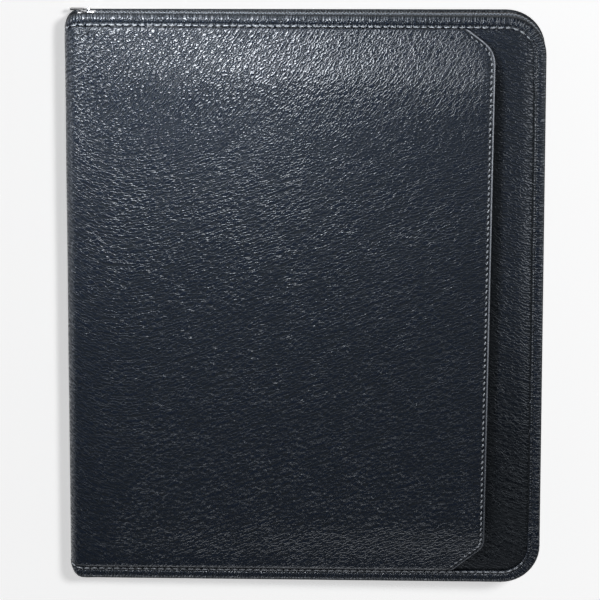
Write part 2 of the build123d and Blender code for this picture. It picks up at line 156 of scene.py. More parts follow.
def rightEdge(y, inset):
    # where a row at y meets the fore edge, moved in by inset
    overY = abs(y) - cornerY
    if overY <= 0:
        return width - inset
    reach = case["corner"] - inset
    return cornerX + math.sqrt(max(0.0, reach * reach - overY * overY))


def edgeTrack(inset, start, s):
    # point at length s along the head, fore and tail edges
    reach = case["corner"] - inset
    arc = reach * math.pi / 2
    runX = cornerX - start
    runY = 2 * cornerY
    if s <= runX:
        return start + s, halfHeight - inset
    s -= runX
    if s <= arc:
        angle = math.pi / 2 - s / reach
        return cornerX + reach * math.cos(angle), cornerY + reach * math.sin(angle)
    s -= arc
    if s <= runY:
        return width - inset, cornerY - s
    s -= runY
    if s <= arc:
        angle = s / reach
        return cornerX + reach * math.cos(angle), -cornerY - reach * math.sin(angle)
    return cornerX - (s - arc), inset - halfHeight


def trackLength(inset, start):
    return 2 * (cornerX - start) + math.pi * (case["corner"] - inset) + 2 * cornerY


def trackAlong(u, y, start):
    # length along the edge band of a point on it; the tail half mirrors the head half
    if y < 0:
        return trackLength(0, start) - trackAlong(u, -y, start)
    runX = cornerX - start
    if u <= cornerX:
        return u - start
    if y <= cornerY:
        return runX + case["corner"] * math.pi / 2 + cornerY - y
    return runX + case["corner"] * math.atan2(u - cornerX, y - cornerY)


# Materials

waveRepeat = math.pi / 10  # the wave texture repeats at this length at scale 1
inColour = {"data_type": "RGBA"}


def linear(hexColour):
    parts = [int(hexColour[i:i + 2], 16) / 255 for i in (1, 3, 5)]
    return [p / 12.92 if p <= 0.04045 else ((p + 0.055) / 1.055) ** 2.4 for p in parts] + [1.0]


def setInputs(tree, node, **inputs):
    # an input is a value, or a (node, output) pair to link; i6 is the input with the number 6
    for name, value in inputs.items():
        numbered = name[0] == "i" and name[1:].isdigit()
        socket = node.inputs[int(name[1:]) if numbered else name.replace("_", " ")]
        if isinstance(value, tuple) and hasattr(value[0], "outputs"):
            tree.links.new(value[0].outputs[value[1]], socket)
        else:
            socket.default_value = value


def addNode(tree, kind, settings=None, **inputs):
    # one node with its settings and links
    node = tree.nodes.new("ShaderNode" + kind)
    for name, value in (settings or {}).items():
        setattr(node, name, value)
    setInputs(tree, node, **inputs)
    return node


def newMaterial(name, **shader):
    material = bpy.data.materials.new(name)
    material.use_nodes = True
    tree = material.node_tree
    surface = tree.nodes["Principled BSDF"]
    setInputs(tree, surface, **shader)
    return material, tree, surface


leatherLook = {
    "ridge": 1.7,  # mm from one ridge of the grain to the next
    "ridgeLong": 1.15,  # how much longer than wide the ridges' waves are
    "bend": 7.5,
    "pebble": 1.2,  # mm, mean width of a pebble
    "pore": 0.4167,  # mm
    "patch": 12.5,  # mm, where the grain is stronger or calmer
    "depth": 0.12,  # mm
    "bindingDepth": 0.13,
    "pocketDepth": 0.07,
    "seamTurn": 56,  # degrees, the way the ridges run where the leather is drawn to a seam
    "restTurn": 20,
    "acrossTurn": 84,  # along a binding the gathers run across
    "pocketTurn": 58,
    "glossHex": "#e1efff",  # the finish reflects a little blue
    "paintedShadeHex": "#030405",  # painted shade, near black: down in a sewn groove and in other shaded places
    "rubbedHighlightHex": "#80848b",  # painted highlight along a rolled edge, a lighter tone as if handled
}


def leather(name, pebbleHex, creaseHex, depth, roughness, coat, turns):
    # drum-dyed full grain leather with a thin satin finish: ridges catch the light, creases stay dull.
    # Its attributes draw it to a seam, smooth a rolled edge and paint a highlight on it, and paint shade into
    # grooves and other shaded places
    look = leatherLook
    material, tree, surface = newMaterial(name, Coat_Roughness=0.20, Specular_IOR_Level=0.42,
                                          Specular_Tint=linear(look["glossHex"]))
    layers = ("skin", "gather", "polishAndHighlight", "deep")
    skin, gather, polishAndHighlight, deep = (addNode(tree, "Attribute", {"attribute_name": layer}) for layer in layers)
    waves = []
    for turn in turns:
        lines = addNode(tree, "Mapping", {"vector_type": "TEXTURE"}, Vector=(skin, "Vector"),
                        Rotation=(0, 0, math.radians(turn)), Scale=(look["ridgeLong"], 1, 1))
        waves.append(addNode(tree, "TexWave", {"bands_direction": "Y"}, Vector=(lines, 0),
                             Scale=waveRepeat / look["ridge"], Distortion=look["bend"], Detail=1.0,
                             Detail_Scale=2.1))
    pull = addNode(tree, "MapRange", Value=(gather, "Fac"), From_Min=0.3, From_Max=0.75)
    ridges = addNode(tree, "Mix", {"data_type": "FLOAT"}, Factor=(pull, 0), i2=(waves[1], "Fac"),
                     i3=(waves[0], "Fac"))
    patches = addNode(tree, "TexNoise", {"noise_dimensions": "2D"}, Vector=(skin, "Vector"),
                      Scale=1 / look["patch"], Detail=3.0)
    calm = addNode(tree, "MapRange", Value=(patches, "Fac"), From_Min=0.35, From_Max=0.65, To_Min=0.72,
                   To_Max=1.0)
    swing = addNode(tree, "Math", {"operation": "MULTIPLY_ADD"}, i0=(gather, "Fac"), i1=0.4, i2=(calm, 0))
    tall = addNode(tree, "Math", {"operation": "MULTIPLY"}, i0=(ridges, 0), i1=(swing, 0))
    cells = addNode(tree, "TexVoronoi", {"voronoi_dimensions": "2D", "feature": "DISTANCE_TO_EDGE"},
                    Vector=(skin, "Vector"), Scale=1 / look["pebble"])
    dome = addNode(tree, "MapRange", {"interpolation_type": "SMOOTHSTEP"}, Value=(cells, "Distance"),
                   From_Max=0.46, To_Max=0.35)
    pores = addNode(tree, "TexNoise", {"noise_dimensions": "2D"}, Vector=(skin, "Vector"),
                    Scale=1 / look["pore"], Detail=2.0)
    small = addNode(tree, "Math", {"operation": "MULTIPLY_ADD"}, i0=(pores, "Fac"), i1=0.2, i2=(dome, 0))
    relief = addNode(tree, "Math", {"operation": "ADD"}, i0=(tall, 0), i1=(small, 0))
    kept = addNode(tree, "MapRange", Value=(polishAndHighlight, "Fac"), To_Min=1.0, To_Max=0.12)
    grain = addNode(tree, "Math", {"operation": "MULTIPLY"}, i0=(relief, 0), i1=(kept, 0))
    bump = addNode(tree, "Bump", Strength=1.0, Distance=depth * mm, Height=(grain, 0))
    crest = addNode(tree, "MapRange", Value=(relief, 0), From_Min=0.2, From_Max=1.1)
    # crests take the lighter tone and creases the darker: partly the leather's own tone, partly painted shade
    # in the creases
    toneMix = addNode(tree, "Math", {"operation": "MAXIMUM"}, i0=(crest, 0), i1=(polishAndHighlight, "Fac"))
    tint = addNode(tree, "Mix", inColour, Factor=(toneMix, 0), i6=linear(creaseHex), i7=linear(pebbleHex))
    # painted highlight: the rubbed rolled edge is tinted lighter
    rubbedHighlight = addNode(tree, "Mix", inColour, Factor=(polishAndHighlight, "Fac"), i6=(tint, 2),
                     i7=linear(look["rubbedHighlightHex"]))
    # painted shade: grooves and shaded places are tinted near black
    paintedShade = addNode(tree, "Mix", inColour, Factor=(deep, "Fac"), i6=(rubbedHighlight, 2), i7=linear(look["paintedShadeHex"]))
    dull = addNode(tree, "MapRange", Value=(crest, 0), To_Min=roughness + 0.3, To_Max=roughness - 0.04)
    handled = addNode(tree, "Math", {"operation": "MULTIPLY_ADD"}, i0=(polishAndHighlight, "Fac"), i1=-0.06, i2=(dull, 0))
    matt = addNode(tree, "Math", {"operation": "POWER"}, i0=(deep, "Fac"), i1=12.0)  # only deep in a groove
    gloss = addNode(tree, "Math", {"operation": "MULTIPLY_ADD"}, i0=(matt, 0), i1=0.6, i2=(handled, 0))
    shine = addNode(tree, "MapRange", Value=(crest, 0), From_Min=0.1, To_Max=coat)
    clean = addNode(tree, "MapRange", Value=(deep, "Fac"), To_Min=1.0, To_Max=0.0)
    finish = addNode(tree, "Math", {"operation": "MULTIPLY"}, i0=(shine, 0), i1=(clean, 0))
    setInputs(tree, surface, Base_Color=(paintedShade, 2), Roughness=(gloss, 0), Coat_Weight=(finish, 0),
              Normal=(bump, 0), Coat_Normal=(bump, 0))
    return material


def threadMaterial():
    # bonded polyester thread, twisted: a tight sheen that breaks at each ply
    material, tree, surface = newMaterial("bonded sewing thread", Roughness=0.34, Sheen_Weight=0.3)
    place = addNode(tree, "TexCoord")
    ply = addNode(tree, "TexNoise", Vector=(place, "Object"), Scale=1 / (0.4 * mm), Detail=1.0)
    tint = addNode(tree, "Mix", inColour, Factor=(ply, "Fac"), i6=linear("#5d626a"), i7=linear("#9aa0a8"))
    bump = addNode(tree, "Bump", Strength=0.5, Distance=0.05 * mm, Height=(ply, "Fac"))
    setInputs(tree, surface, Base_Color=(tint, 2), Normal=(bump, 0))
    return material


coverLeather = leather("pebbled navy-black leather", "#141b27", "#05080c", leatherLook["depth"], 0.28, 1.0,
                       (leatherLook["seamTurn"], leatherLook["restTurn"]))
bindingLeather = leather("folded binding leather", "#151c28", "#06090d", leatherLook["bindingDepth"], 0.27,
                         1.0, (leatherLook["acrossTurn"], leatherLook["acrossTurn"]))
thread = threadMaterial()
print("leather and thread ready")


# Building helpers

def addPiece(name, bm, material, body=None, stands=(), sharp=None):
    # the finished mesh in metres, riding on its body, or loose for a blend
    bmesh.ops.recalc_face_normals(bm, faces=bm.faces)
    if bm.calc_volume(signed=True) < 0:
        bmesh.ops.reverse_faces(bm, faces=bm.faces)
    bmesh.ops.scale(bm, vec=(mm, mm, mm), verts=bm.verts)
    mesh = bpy.data.meshes.new(name)
    bm.to_mesh(mesh)
    bm.free()
    mesh.shade_smooth()
    if sharp:
        mesh.set_sharp_from_angle(angle=math.radians(sharp))
    mesh.materials.append(material)
    obj = bpy.data.objects.new(name, mesh)
    scene.collection.objects.link(obj)
    if body:
        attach(obj, body)
    if stands:
        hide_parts(*stands)
    return obj


def blendFront(obj):
    # bakes the piece's placement into its mesh; the upper roll's ends, from the spine to the front cover, are
    # found but not used
    start = wrapFront(frontFold - frontArc, 0, 0) * mm
    end = wrapFront(frontFold, 0, 0) * mm
    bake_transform(obj)


def blendBack(obj):
    # bakes the piece's placement into its mesh; the lower roll's ends, from the back cover to the spine, are
    # found but not used
    start = wrapBack(fold, 0, 0) * mm
    end = wrapBack(fold - backArc, 0, 0) * mm
    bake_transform(obj)


def vertsOf(geom):
    return [g for g in geom if isinstance(g, bmesh.types.BMVert)]


def freshVerts(bm, known):
    return [v for v in bm.verts if v not in known]


def bevelEdges(bm, edges, rounding, segments):
    bmesh.ops.bevel(bm, geom=edges, offset=rounding, offset_type="OFFSET", segments=segments, profile=0.5,
                    affect="EDGES", material=-1)


def addBlock(bm, size):
    # a box round the origin; gives the vertices that were there before it
    known = set(bm.verts)
    bmesh.ops.create_cube(bm, size=1.0)
    bmesh.ops.scale(bm, vec=size, verts=freshVerts(bm, known))
    return known


def addRoundedBlock(bm, size, place, rounding, segments=2):
    known = addBlock(bm, size)
    fresh = set(freshVerts(bm, known))
    bevelEdges(bm, [e for e in bm.edges if fresh.issuperset(e.verts)], rounding, segments)
    bmesh.ops.transform(bm, matrix=place, verts=freshVerts(bm, known))


def addDoubleGrid(bm, columns, rows):
    # a unit grid and its copy, joined round the rim: all its vertices, and those of the copy
    known = set(bm.verts)
    bmesh.ops.create_grid(bm, x_segments=columns, y_segments=rows, size=0.5)
    fresh = set(freshVerts(bm, known))
    made = bmesh.ops.extrude_face_region(bm, geom=[f for f in bm.faces if f.verts[0] in fresh])["geom"]
    return freshVerts(bm, known), set(vertsOf(made))


def sweepEdge(bm, profile, start):
    # carries a closed profile of (inset, height) pairs along the head, fore and tail edges
    chain = [bm.verts.new((start, halfHeight - inset, height)) for inset, height in profile]
    first = [bm.edges.new(pair) for pair in zip(chain, chain[1:] + chain[:1])]
    runX = cornerX - start
    runY = 2 * cornerY
    countX = round(runX / case["sweepStep"])
    countY = round(runY / case["sweepStep"])
    still = (0, 0, 0)
    legs = (
        (0, (runX / countX, 0, 0), still, countX),
        (-math.pi / 2, still, (cornerX, cornerY, 0), case["cornerTurns"]),
        (0, (0, -runY / countY, 0), still, countY),
        (-math.pi / 2, still, (cornerX, -cornerY, 0), case["cornerTurns"]),
        (0, (-runX / countX, 0, 0), still, countX),
    )
    geom = chain + first
    for angle, step, centre, count in legs:
        made = bmesh.ops.spin(bm, geom=geom, cent=centre, axis=(0, 0, 1), dvec=step, angle=angle, steps=count)
        geom = made["geom_last"]
    last = [e for e in geom if isinstance(e, bmesh.types.BMEdge)]
    bmesh.ops.contextual_create(bm, geom=first)
    bmesh.ops.contextual_create(bm, geom=last)


# Stitches lie low, and turn by some degrees, sink and vary in length a little
sewing = {"flat": 0.42, "turn": 5, "sink": 0.05, "shortest": 0.92, "longest": 1.05}


def stitchSeed():
    # a short rounded length of thread, lying along x
    bm = bmesh.new()
    along = Matrix.Rotation(math.pi / 2, 4, "Y")
    bmesh.ops.create_uvsphere(bm, u_segments=6, v_segments=5, radius=1.0, matrix=along)
    mesh = bpy.data.meshes.new("stitch")
    bm.to_mesh(mesh)
    bm.free()
    return mesh


stitchShape = stitchSeed()


def addStitch(bm, at, ahead, up, length, thick):
    ahead = ahead.normalized()
    side = up.cross(ahead).normalized()
    up = ahead.cross(side)
    turn = Matrix((ahead * length / 2, side * thick / 2, up * thick * sewing["flat"])).transposed().to_4x4()
    shape = stitchShape.copy()
    shape.transform(Matrix.Translation(at) @ turn)
    bm.from_mesh(shape)
    bpy.data.meshes.remove(shape)


def edgeStitches(wrap, inset, start, heightAt, pitch, length, thick):
    # a row along the head, fore and tail edges
    bm = bmesh.new()
    total = trackLength(inset, start)
    count = int(total / pitch)
    for i in range(count):
        s = (i + 0.5) * total / count
        u, y = edgeTrack(inset, start, s)
        h = heightAt(u)
        before = wrap(*edgeTrack(inset, start, s - 0.5), h)
        after = wrap(*edgeTrack(inset, start, min(total, s + 0.5)), h)
        up = (wrap(u, y, h + 1) - wrap(u, y, h)).normalized()
        turn = math.radians(random.uniform(-sewing["turn"], sewing["turn"]))
        at = wrap(u, y, h + random.uniform(-sewing["sink"], sewing["sink"]))
        long = length * random.uniform(sewing["shortest"], sewing["longest"])
        addStitch(bm, at, Matrix.Rotation(turn, 3, up) @ (after - before), up, long, thick)
    return bm


def rowsTo(seam, count, power=1.0):
    # rows from the tail's seam to the head's; a power under 1 crowds them towards the seams
    shares = (2 * j / (count - 1) - 1 for j in range(count))
    return [seam * math.copysign(abs(share) ** power, share) for share in shares]


def outAndBack(begin, bend, bendCount, edgeAt, flatCount, underCount, thick, power=1.0):
    # columns of a sheet, from begin to a bend, on to its edge, and back underneath: how many there are, and
    # a function that gives a column's u and its depth under the face at y
    topCount = bendCount + flatCount + 1

    def across(i, y):
        if i < bendCount:
            return lerp(begin, bend, i / bendCount), 0.0
        edge = edgeAt(y)
        if i < topCount:
            return lerp(bend, edge, ((i - bendCount) / flatCount) ** power), 0.0
        return lerp(edge, begin, (i - topCount) / (underCount - 1)), thick

    return topCount + underCount, across


def ribbonGrid(columns, rows, pointAt, skinAt, finishAndPaintedLightAt=None):
    # a sheet as a ring of columns: out along the top, round the free edge and back along the underside
    bm = bmesh.new()
    skin = bm.verts.layers.float_vector.new("skin")
    if finishAndPaintedLightAt:
        gather, polishAndHighlight, deep = (bm.verts.layers.float.new(layer) for layer in ("gather", "polishAndHighlight", "deep"))
    bmesh.ops.create_grid(bm, x_segments=columns - 1, y_segments=rows - 1, size=0.5)
    for v in bm.verts:
        i = round((v.co.x + 0.5) * (columns - 1))
        j = round((v.co.y + 0.5) * (rows - 1))
        v[skin] = skinAt(i, j)
        if finishAndPaintedLightAt:
            v[gather], v[polishAndHighlight], v[deep] = finishAndPaintedLightAt(i, j)
        v.co = pointAt(i, j)
    rim = [e for e in bm.edges if e.is_boundary]
    ends = [e for end in (0, columns - 1) for e in rim if all(v.index % columns == end for v in e.verts)]
    bmesh.ops.bridge_loops(bm, edges=ends)
    bmesh.ops.holes_fill(bm, edges=[e for e in bm.edges if e.is_boundary], sides=0)
    return bm


# Camera at the photograph's viewing angle: turns in degrees, lengths in millimetres
view = {
    "tilt": 15.48,
    "yaw": -0.20,
    "roll": -0.10,
    "aside": -2.95,
    "along": -3.63,
    "distance": 2893.0,
    "lens": 300.68,
    "sensor": 36.0,
    "farthest": 30000.0,
}


def addCamera():
    turn = Matrix.Identity(3)
    for key, axis in (("roll", "Z"), ("yaw", "Y"), ("tilt", "X")):
        turn = turn @ Matrix.Rotation(math.radians(view[key]), 3, axis)
    turn.transpose()
    data = bpy.data.cameras.new("camera")
    data.lens = view["lens"]
    data.sensor_width = view["sensor"]
    data.clip_end = view["farthest"] * mm
    camera = bpy.data.objects.new("camera", data)
    place = turn @ Vector((view["aside"], view["along"], view["distance"])) * mm
    camera.matrix_world = Matrix.Translation(place) @ turn.to_4x4()
    scene.collection.objects.link(camera)
    scene.camera = camera


addCamera()

studio = {
    "background": "#f5f5f5",
    "tentHex": "#f4f6fa",
    "wallStrength": 0.6,
    "ceilingStrength": 0.03,
    "floorHex": "#f0f0f0",
    "floorGlow": 0.57,
    "floorShade": 0.95,
    "floorReach": 8.0,  # metres
    "floorDrop": 0.0002,
}
# where each softbox stands and points, its two sides in metres, and its power
lamps = {
    "head softbox": ((-0.09, 0.18, 0.24), (-0.12, 0.13, 0.0), (0.10, 0.10), 0.78),
    "head rim softbox": ((-0.14, 0.50, 0.24), (-0.08, 0.16, 0.0), (0.26, 0.42), 2.6),
    "fore rim softbox": ((0.50, 0.05, 0.19), (0.13, 0.05, 0.02), (0.30, 0.10), 0.75),
    "fore softbox": ((0.38, 0.04, 0.50), (0.13, 0.10, 0.0), (0.24, 0.22), 0.6),
    "tail rim softbox": ((-0.02, -0.50, 0.20), (-0.02, -0.16, 0.0), (0.40, 0.10), 0.4),
    "spine softbox": ((-0.42, 0.05, 0.21), (-0.13, 0.03, 0.0), (0.40, 0.16), 0.5),
    "top softbox": ((-0.25, 0.3, 1.55), (0.0, 0.0, 0.0), (0.3, 0.3), 1.1),
    "floor softbox": ((1.28, 1.15, 2.4), (0.0, 0.0, 0.0), (0.6, 0.6), 34.0),
}


def addSoftbox(name):
    place, target, (wide, deep), power = lamps[name]
    data = bpy.data.lights.new(name, "AREA")
    data.shape = "RECTANGLE"
    data.size = wide
    data.size_y = deep
    data.energy = power
    lamp = bpy.data.objects.new(name, data)
    lamp.location = place
    lamp.rotation_mode = "QUATERNION"
    lamp.rotation_quaternion = (Vector(target) - Vector(place)).to_track_quat("-Z", "Y")
    scene.collection.objects.link(lamp)
    return lamp


def addTent():
    # a light tent: bright walls low down, a dim ceiling; looked at directly it is the pale background
    world = bpy.data.worlds.new("studio")
    scene.world = world
    world.use_nodes = True
    tree = world.node_tree
    tree.nodes.clear()
    path = addNode(tree, "LightPath")
    seen = addNode(tree, "Math", {"operation": "MAXIMUM"}, i0=(path, "Is Camera Ray"),
                   i1=(path, "Is Transmission Ray"))
    pale = addNode(tree, "Background", Color=linear(studio["background"]), Strength=1.0)
    place = addNode(tree, "TexCoord")
    parts = addNode(tree, "SeparateXYZ", Vector=(place, "Generated"))
    wall = addNode(tree, "MapRange", {"interpolation_type": "SMOOTHSTEP"}, Value=(parts, "Z"), From_Min=0.05,
                   From_Max=0.5, To_Min=studio["wallStrength"], To_Max=studio["ceilingStrength"])
    fill = addNode(tree, "Background", Color=linear(studio["tentHex"]), Strength=(wall, 0))
    mixed = addNode(tree, "MixShader", i0=(seen, 0), i1=(fill, 0), i2=(pale, 0))
    addNode(tree, "OutputWorld", Surface=(mixed, 0))


def floorPaper():
    # seamless background paper, uncoated and matt: bright to the camera, and it keeps the shadow
    material, tree, surface = newMaterial("pale seamless paper", Base_Color=linear(studio["floorHex"]),
                                          Roughness=0.9, Specular_IOR_Level=0.0)
    path = addNode(tree, "LightPath")
    seen = addNode(tree, "Math", {"operation": "MAXIMUM"}, i0=(path, "Is Camera Ray"),
                   i1=(path, "Is Transmission Ray"))
    seen = addNode(tree, "Math", {"operation": "MAXIMUM"}, i0=(seen, 0), i1=(path, "Is Glossy Ray"))
    glow = addNode(tree, "Emission", Color=(1, 1, 1, 1), Strength=studio["floorGlow"])
    shade = addNode(tree, "BsdfDiffuse", Color=[studio["floorShade"]] * 3 + [1])
    lit = addNode(tree, "AddShader", i0=(glow, 0), i1=(shade, 0))
    both = addNode(tree, "MixShader", i0=(seen, 0), i1=(surface, 0), i2=(lit, 0))
    setInputs(tree, tree.nodes["Material Output"], Surface=(both, 0))
    return material


def addFloor():
    bm = bmesh.new()
    bmesh.ops.create_grid(bm, x_segments=1, y_segments=1, size=studio["floorReach"])
    mesh = bpy.data.meshes.new("floor")
    bm.to_mesh(mesh)
    bm.free()
    mesh.materials.append(floorPaper())
    floor = bpy.data.objects.new("floor", mesh)
    floor.location.z = -studio["floorDrop"]
    scene.collection.objects.link(floor)
    return floor


def addStudio():
    softboxes = {name: addSoftbox(name) for name in lamps}
    addTent()
    floor = addFloor()
    # the near softboxes light the case and not the floor, which stays even under the far one
    for name, lamp in softboxes.items():
        receivers = bpy.data.collections.new(name + " light")
        receivers.objects.link(floor)
        lamp.light_linking.receiver_collection = receivers
        if name != "floor softbox":
            receivers.collection_objects[0].light_linking.link_state = "EXCLUDE"
    return softboxes


softboxes = addStudio()
print("camera and studio ready")


# Slip pocket panel, one skin from the middle of the spine over the roll to the free edge
pocketPanel = {
    "seam": 160.85,
    "thick": 1.1,
    "foldGap": 0.3,  # how far the skin stands off at the fold
    "mouthGap": 5.45,  # and how much more at its free edge
    "plateau": 34.0,  # from the seams to where it stands off fully
    "headDrop": 19.5,
    "headRadius": 15.0,
    "headLean": 53.13,  # degrees from the free edge
    "tailRun": 19.0,
    "tailRise": 16.0,
    "tailRadius": 9.0,
    "lean": 0.0121,  # the free edge stands off square by this much per millimetre
    "edgeOut": 0.4,  # the skin passes the mouth by this much
    "hemRadius": 0.6,
    "channel": 0.3,  # how deep the stitches pull the skin in
    "channelWide": 0.7,
    "stitchIn": 2.1,
    "stitchPitch": 3.4,
    "stitchLong": 2.2,
    "stitchThick": 0.9,
    "stitchTurn": -20,  # degrees off the line
    "dip": 1.1,  # how far the skin turns down into the binding's groove
    "spineDip": 0.45,
    "dipRun": 1.4,
    "gather": 0.20,  # height of the gathers at the seams
    "tailShare": 0.45,  # and how much of it the tail has
    "slack": 0.072,
    "swell": 0.35,
    "creaseAt": 14.6,  # where the hard crease starts at the head seam
    "creaseLean": 0.5,
    "creaseLong": 9.0,
    "rowStep": 1.35,
    "columnStep": 1.45,
}


def mouthEdge(y):
    # x of the free edge at y: a bend and a slanted cut at the head end, a rounded cut at the tail end
    p = pocketPanel
    right = case["mouth"] + p["edgeOut"] + p["lean"] * y
    low = p["seam"] - p["headDrop"]
    if y > low:
        radius = p["headRadius"]
        lean = math.radians(p["headLean"])
        bend = radius * math.sin(lean)
        if y < low + bend:
            return right - radius + math.sqrt(radius * radius - (y - low) ** 2)
        return right - radius * (1 - math.cos(lean)) - (y - low - bend) * math.tan(lean)
    cut = -p["seam"] + p["tailRise"]
    lean = math.atan2(p["tailRun"], p["tailRise"])
    tangent = p["tailRadius"] * math.tan(lean / 2)
    if y >= cut + tangent:
        return right
    if y >= cut - tangent * math.cos(lean):
        rise = cut + tangent - y
        return right - p["tailRadius"] + math.sqrt(max(0.0, p["tailRadius"] ** 2 - rise * rise))
    return right - (cut - y) * math.tan(lean)


def mouthSlant(y):
    # how much the free edge moves in x for each millimetre in y
    seam = pocketPanel["seam"]
    near = 0.3
    return (mouthEdge(min(seam, y + near)) - mouthEdge(max(-seam, y - near))) / (2 * near)


def panelLift(u, y):
    # height of the panel's outer face over the cover's plane
    p = pocketPanel
    fromSeam = p["seam"] - abs(y)
    lift = 0.0
    if u > frontFold:
        reach = (u - frontFold) / (case["mouth"] - frontFold)
        gap = p["foldGap"] + p["mouthGap"] * reach ** 1.15
        lift = gap * smooth(-6.0, p["plateau"], fromSeam) ** 1.2 * smooth(frontFold, frontFold + 25, u)
    share = 1 - smooth(0.0, p["dipRun"], fromSeam + 0.4)
    dip = lerp(p["spineDip"], p["dip"], smooth(frontFold - frontArc, frontFold + 6, u))
    return lift - dip * share * share


def hardCrease(u, y, wide):
    # share of the one hard crease, which runs from the head seam down to the fold
    p = pocketPanel
    down = p["seam"] - y
    aside = u - (p["creaseAt"] - p["creaseLean"] * down)
    return bell(aside, wide) * (1 - smooth(4.0, p["creaseLong"], down))


def panelWrinkle(u, y):
    # gathers along the sewn edges and slack creases that run up to the right
    p = pocketPanel
    fromSeam = p["seam"] - abs(y)
    near = math.exp(-fromSeam / 7.0) * smooth(0.2, 2.0, fromSeam)
    pucker = wobble(u * 0.26 + 0.05 * y, y * 0.045, 3.1) + 0.5 * wobble(u * 0.5, y * 0.08, 8.7)
    gather = p["gather"] * (1.0 if y > 0 else p["tailShare"]) * near * pucker
    along = (u + y) * math.sqrt(0.5)
    across = (u - y) * math.sqrt(0.5)
    slack = wobble(across * 0.16, along * 0.035, 5.5) + 0.6 * wobble(across * 0.33, along * 0.06, 1.5)
    swell = wobble(u * 0.018, y * 0.018, 2.2) - 1.3 * hardCrease(u, y, 1.1)
    return gather + smooth(0.0, 6.0, fromSeam) * (p["slack"] * slack + p["swell"] * swell)


def makePanel():
    p = pocketPanel
    seam = p["seam"]
    rowCount = int(2 * seam / p["rowStep"])
    rows = rowsTo(seam, rowCount, 0.93)
    rollCount = 13
    flatCount = int((case["mouth"] - frontFold) / p["columnStep"])
    channel = (4.0, 3.3, 2.7, 2.2, 1.8, 1.4, 1.0, 0.6, 0.3, 0.0)  # finer columns beside the rolled edge
    hemCount = 9
    underCount = 40
    columns = rollCount + flatCount + len(channel) + hemCount + underCount

    def across(i, y):
        # u, how far round the hem, and depth under the face
        if i < rollCount:
            return lerp(frontStart, frontFold, i / rollCount), 0.0, 0.0
        i -= rollCount
        edge = mouthEdge(y) - p["hemRadius"]
        if i < flatCount:
            return lerp(frontFold, edge - channel[0], i / flatCount), 0.0, 0.0
        i -= flatCount
        if i < len(channel):
            return edge - channel[i], 0.0, 0.0
        i -= len(channel) - 1
        if i <= hemCount:
            return edge, math.pi * i / hemCount, 0.0
        share = (i - hemCount) / underCount
        thin = lerp(2 * p["hemRadius"], p["thick"], smooth(0.02, 0.06, share))
        return lerp(edge, frontStart, share), 0.0, thin

    def pointAt(i, j):
        y = rows[j]
        u, turn, depth = across(i, y)
        h = panelLift(u, y) + panelWrinkle(u, y) * (1 if u > frontFold else 0.4) - depth
        if not depth:
            h -= p["channel"] * bell(mouthEdge(y) - u - p["stitchIn"], p["channelWide"])
        if turn:
            outX, outY = Vector((1, -mouthSlant(y))).normalized()
            bulge = p["hemRadius"] * math.sin(turn)
            u += outX * bulge
            y = max(-seam, min(seam, y + outY * bulge))
            h -= p["hemRadius"] * (1 - math.cos(turn))
        return wrapFront(u, y, h)

    def skinAt(i, j):
        # beside the spine the grain lies flatter
        u, turn, depth = across(i, rows[j])
        nearSpine = max(0.0, 1 - max(0.0, u) / 70)
        return (u + turn * p["hemRadius"] + depth * 3, rows[j] - 28 * nearSpine ** 3, 0)

    def finishAndPaintedLightAt(i, j):
        # folds drawn in from the seams, most at the head; the rolled edge is smoothed and carries a painted
        # highlight; painted shade lies in the stitch channel and the hard crease
        y = rows[j]
        u = across(i, y)[0]
        drawn = 0.25 + 0.85 * math.exp(-((seam - y) / 60) ** 1.5) + 0.35 * math.exp(-(seam + y) / 8)
        fromEdge = mouthEdge(y) - u
        # painted highlight on the rolled edge, strongest at the head and fading towards the tail
        rubbedHighlight = (1 - smooth(0.5, 0.95, fromEdge)) * (0.3 + 0.7 * smooth(-130, 0, y))
        # painted shade in the stitch channel and along the hard crease
        paintedShade = max(bell(fromEdge - p["stitchIn"] + 0.15, p["channelWide"]), 0.8 * hardCrease(u, y, 0.9))
        return drawn * smooth(3, 8, fromEdge), rubbedHighlight, paintedShade

    bm = ribbonGrid(columns, rowCount, pointAt, skinAt, finishAndPaintedLightAt)
    blendFront(addPiece("slip_pocket_leather", bm, coverLeather, stands=("slip_pocket_panel",)))


def makePanelStitches():
    # a row a little inside the free edge
    p = pocketPanel
    seam = p["seam"]
    turned = frontPlace.to_3x3()
    up = turned @ Vector((0, 0, 1))
    aslant = Matrix.Rotation(math.radians(p["stitchTurn"]), 3, up)
    bm = bmesh.new()
    y = -seam + 1.5
    while y < seam - 1.0:
        slant = mouthSlant(y)
        normal = Vector((1, -slant)).normalized()
        u = mouthEdge(y) - p["stitchIn"] * normal.x
        at = y - p["stitchIn"] * normal.y
        if abs(at) < seam - 0.8:
            h = panelLift(u, at) + panelWrinkle(u, at) - p["channel"] + 0.12
            ahead = aslant @ turned @ Vector((slant, 1, 0))
            addStitch(bm, wrapFront(u, at, h), ahead, up, p["stitchLong"], p["stitchThick"])
        y += p["stitchPitch"] / math.hypot(1, slant)
    addPiece("slip_pocket_stitches", bm, thread, body="front_cover")


makePanel()
makePanelStitches()
print("slip pocket panel sewn")


# Padded face of the front cover, seen between the pocket's free edge and the binding
paddedFace = {
    "groove": 1.05,  # how far it drops at the binding
    "shoulder": 8.0,
    "crown": 0.35,
    "thick": 1.1,
    "tuck": 0.6,  # how far it runs in under the binding
    "step": 1.5,
    "hidden": 205.0,  # wider columns up to here, under the pocket
    "shade": 0.88,  # strength of the painted shade beside the pocket's mouth and towards the tail
}


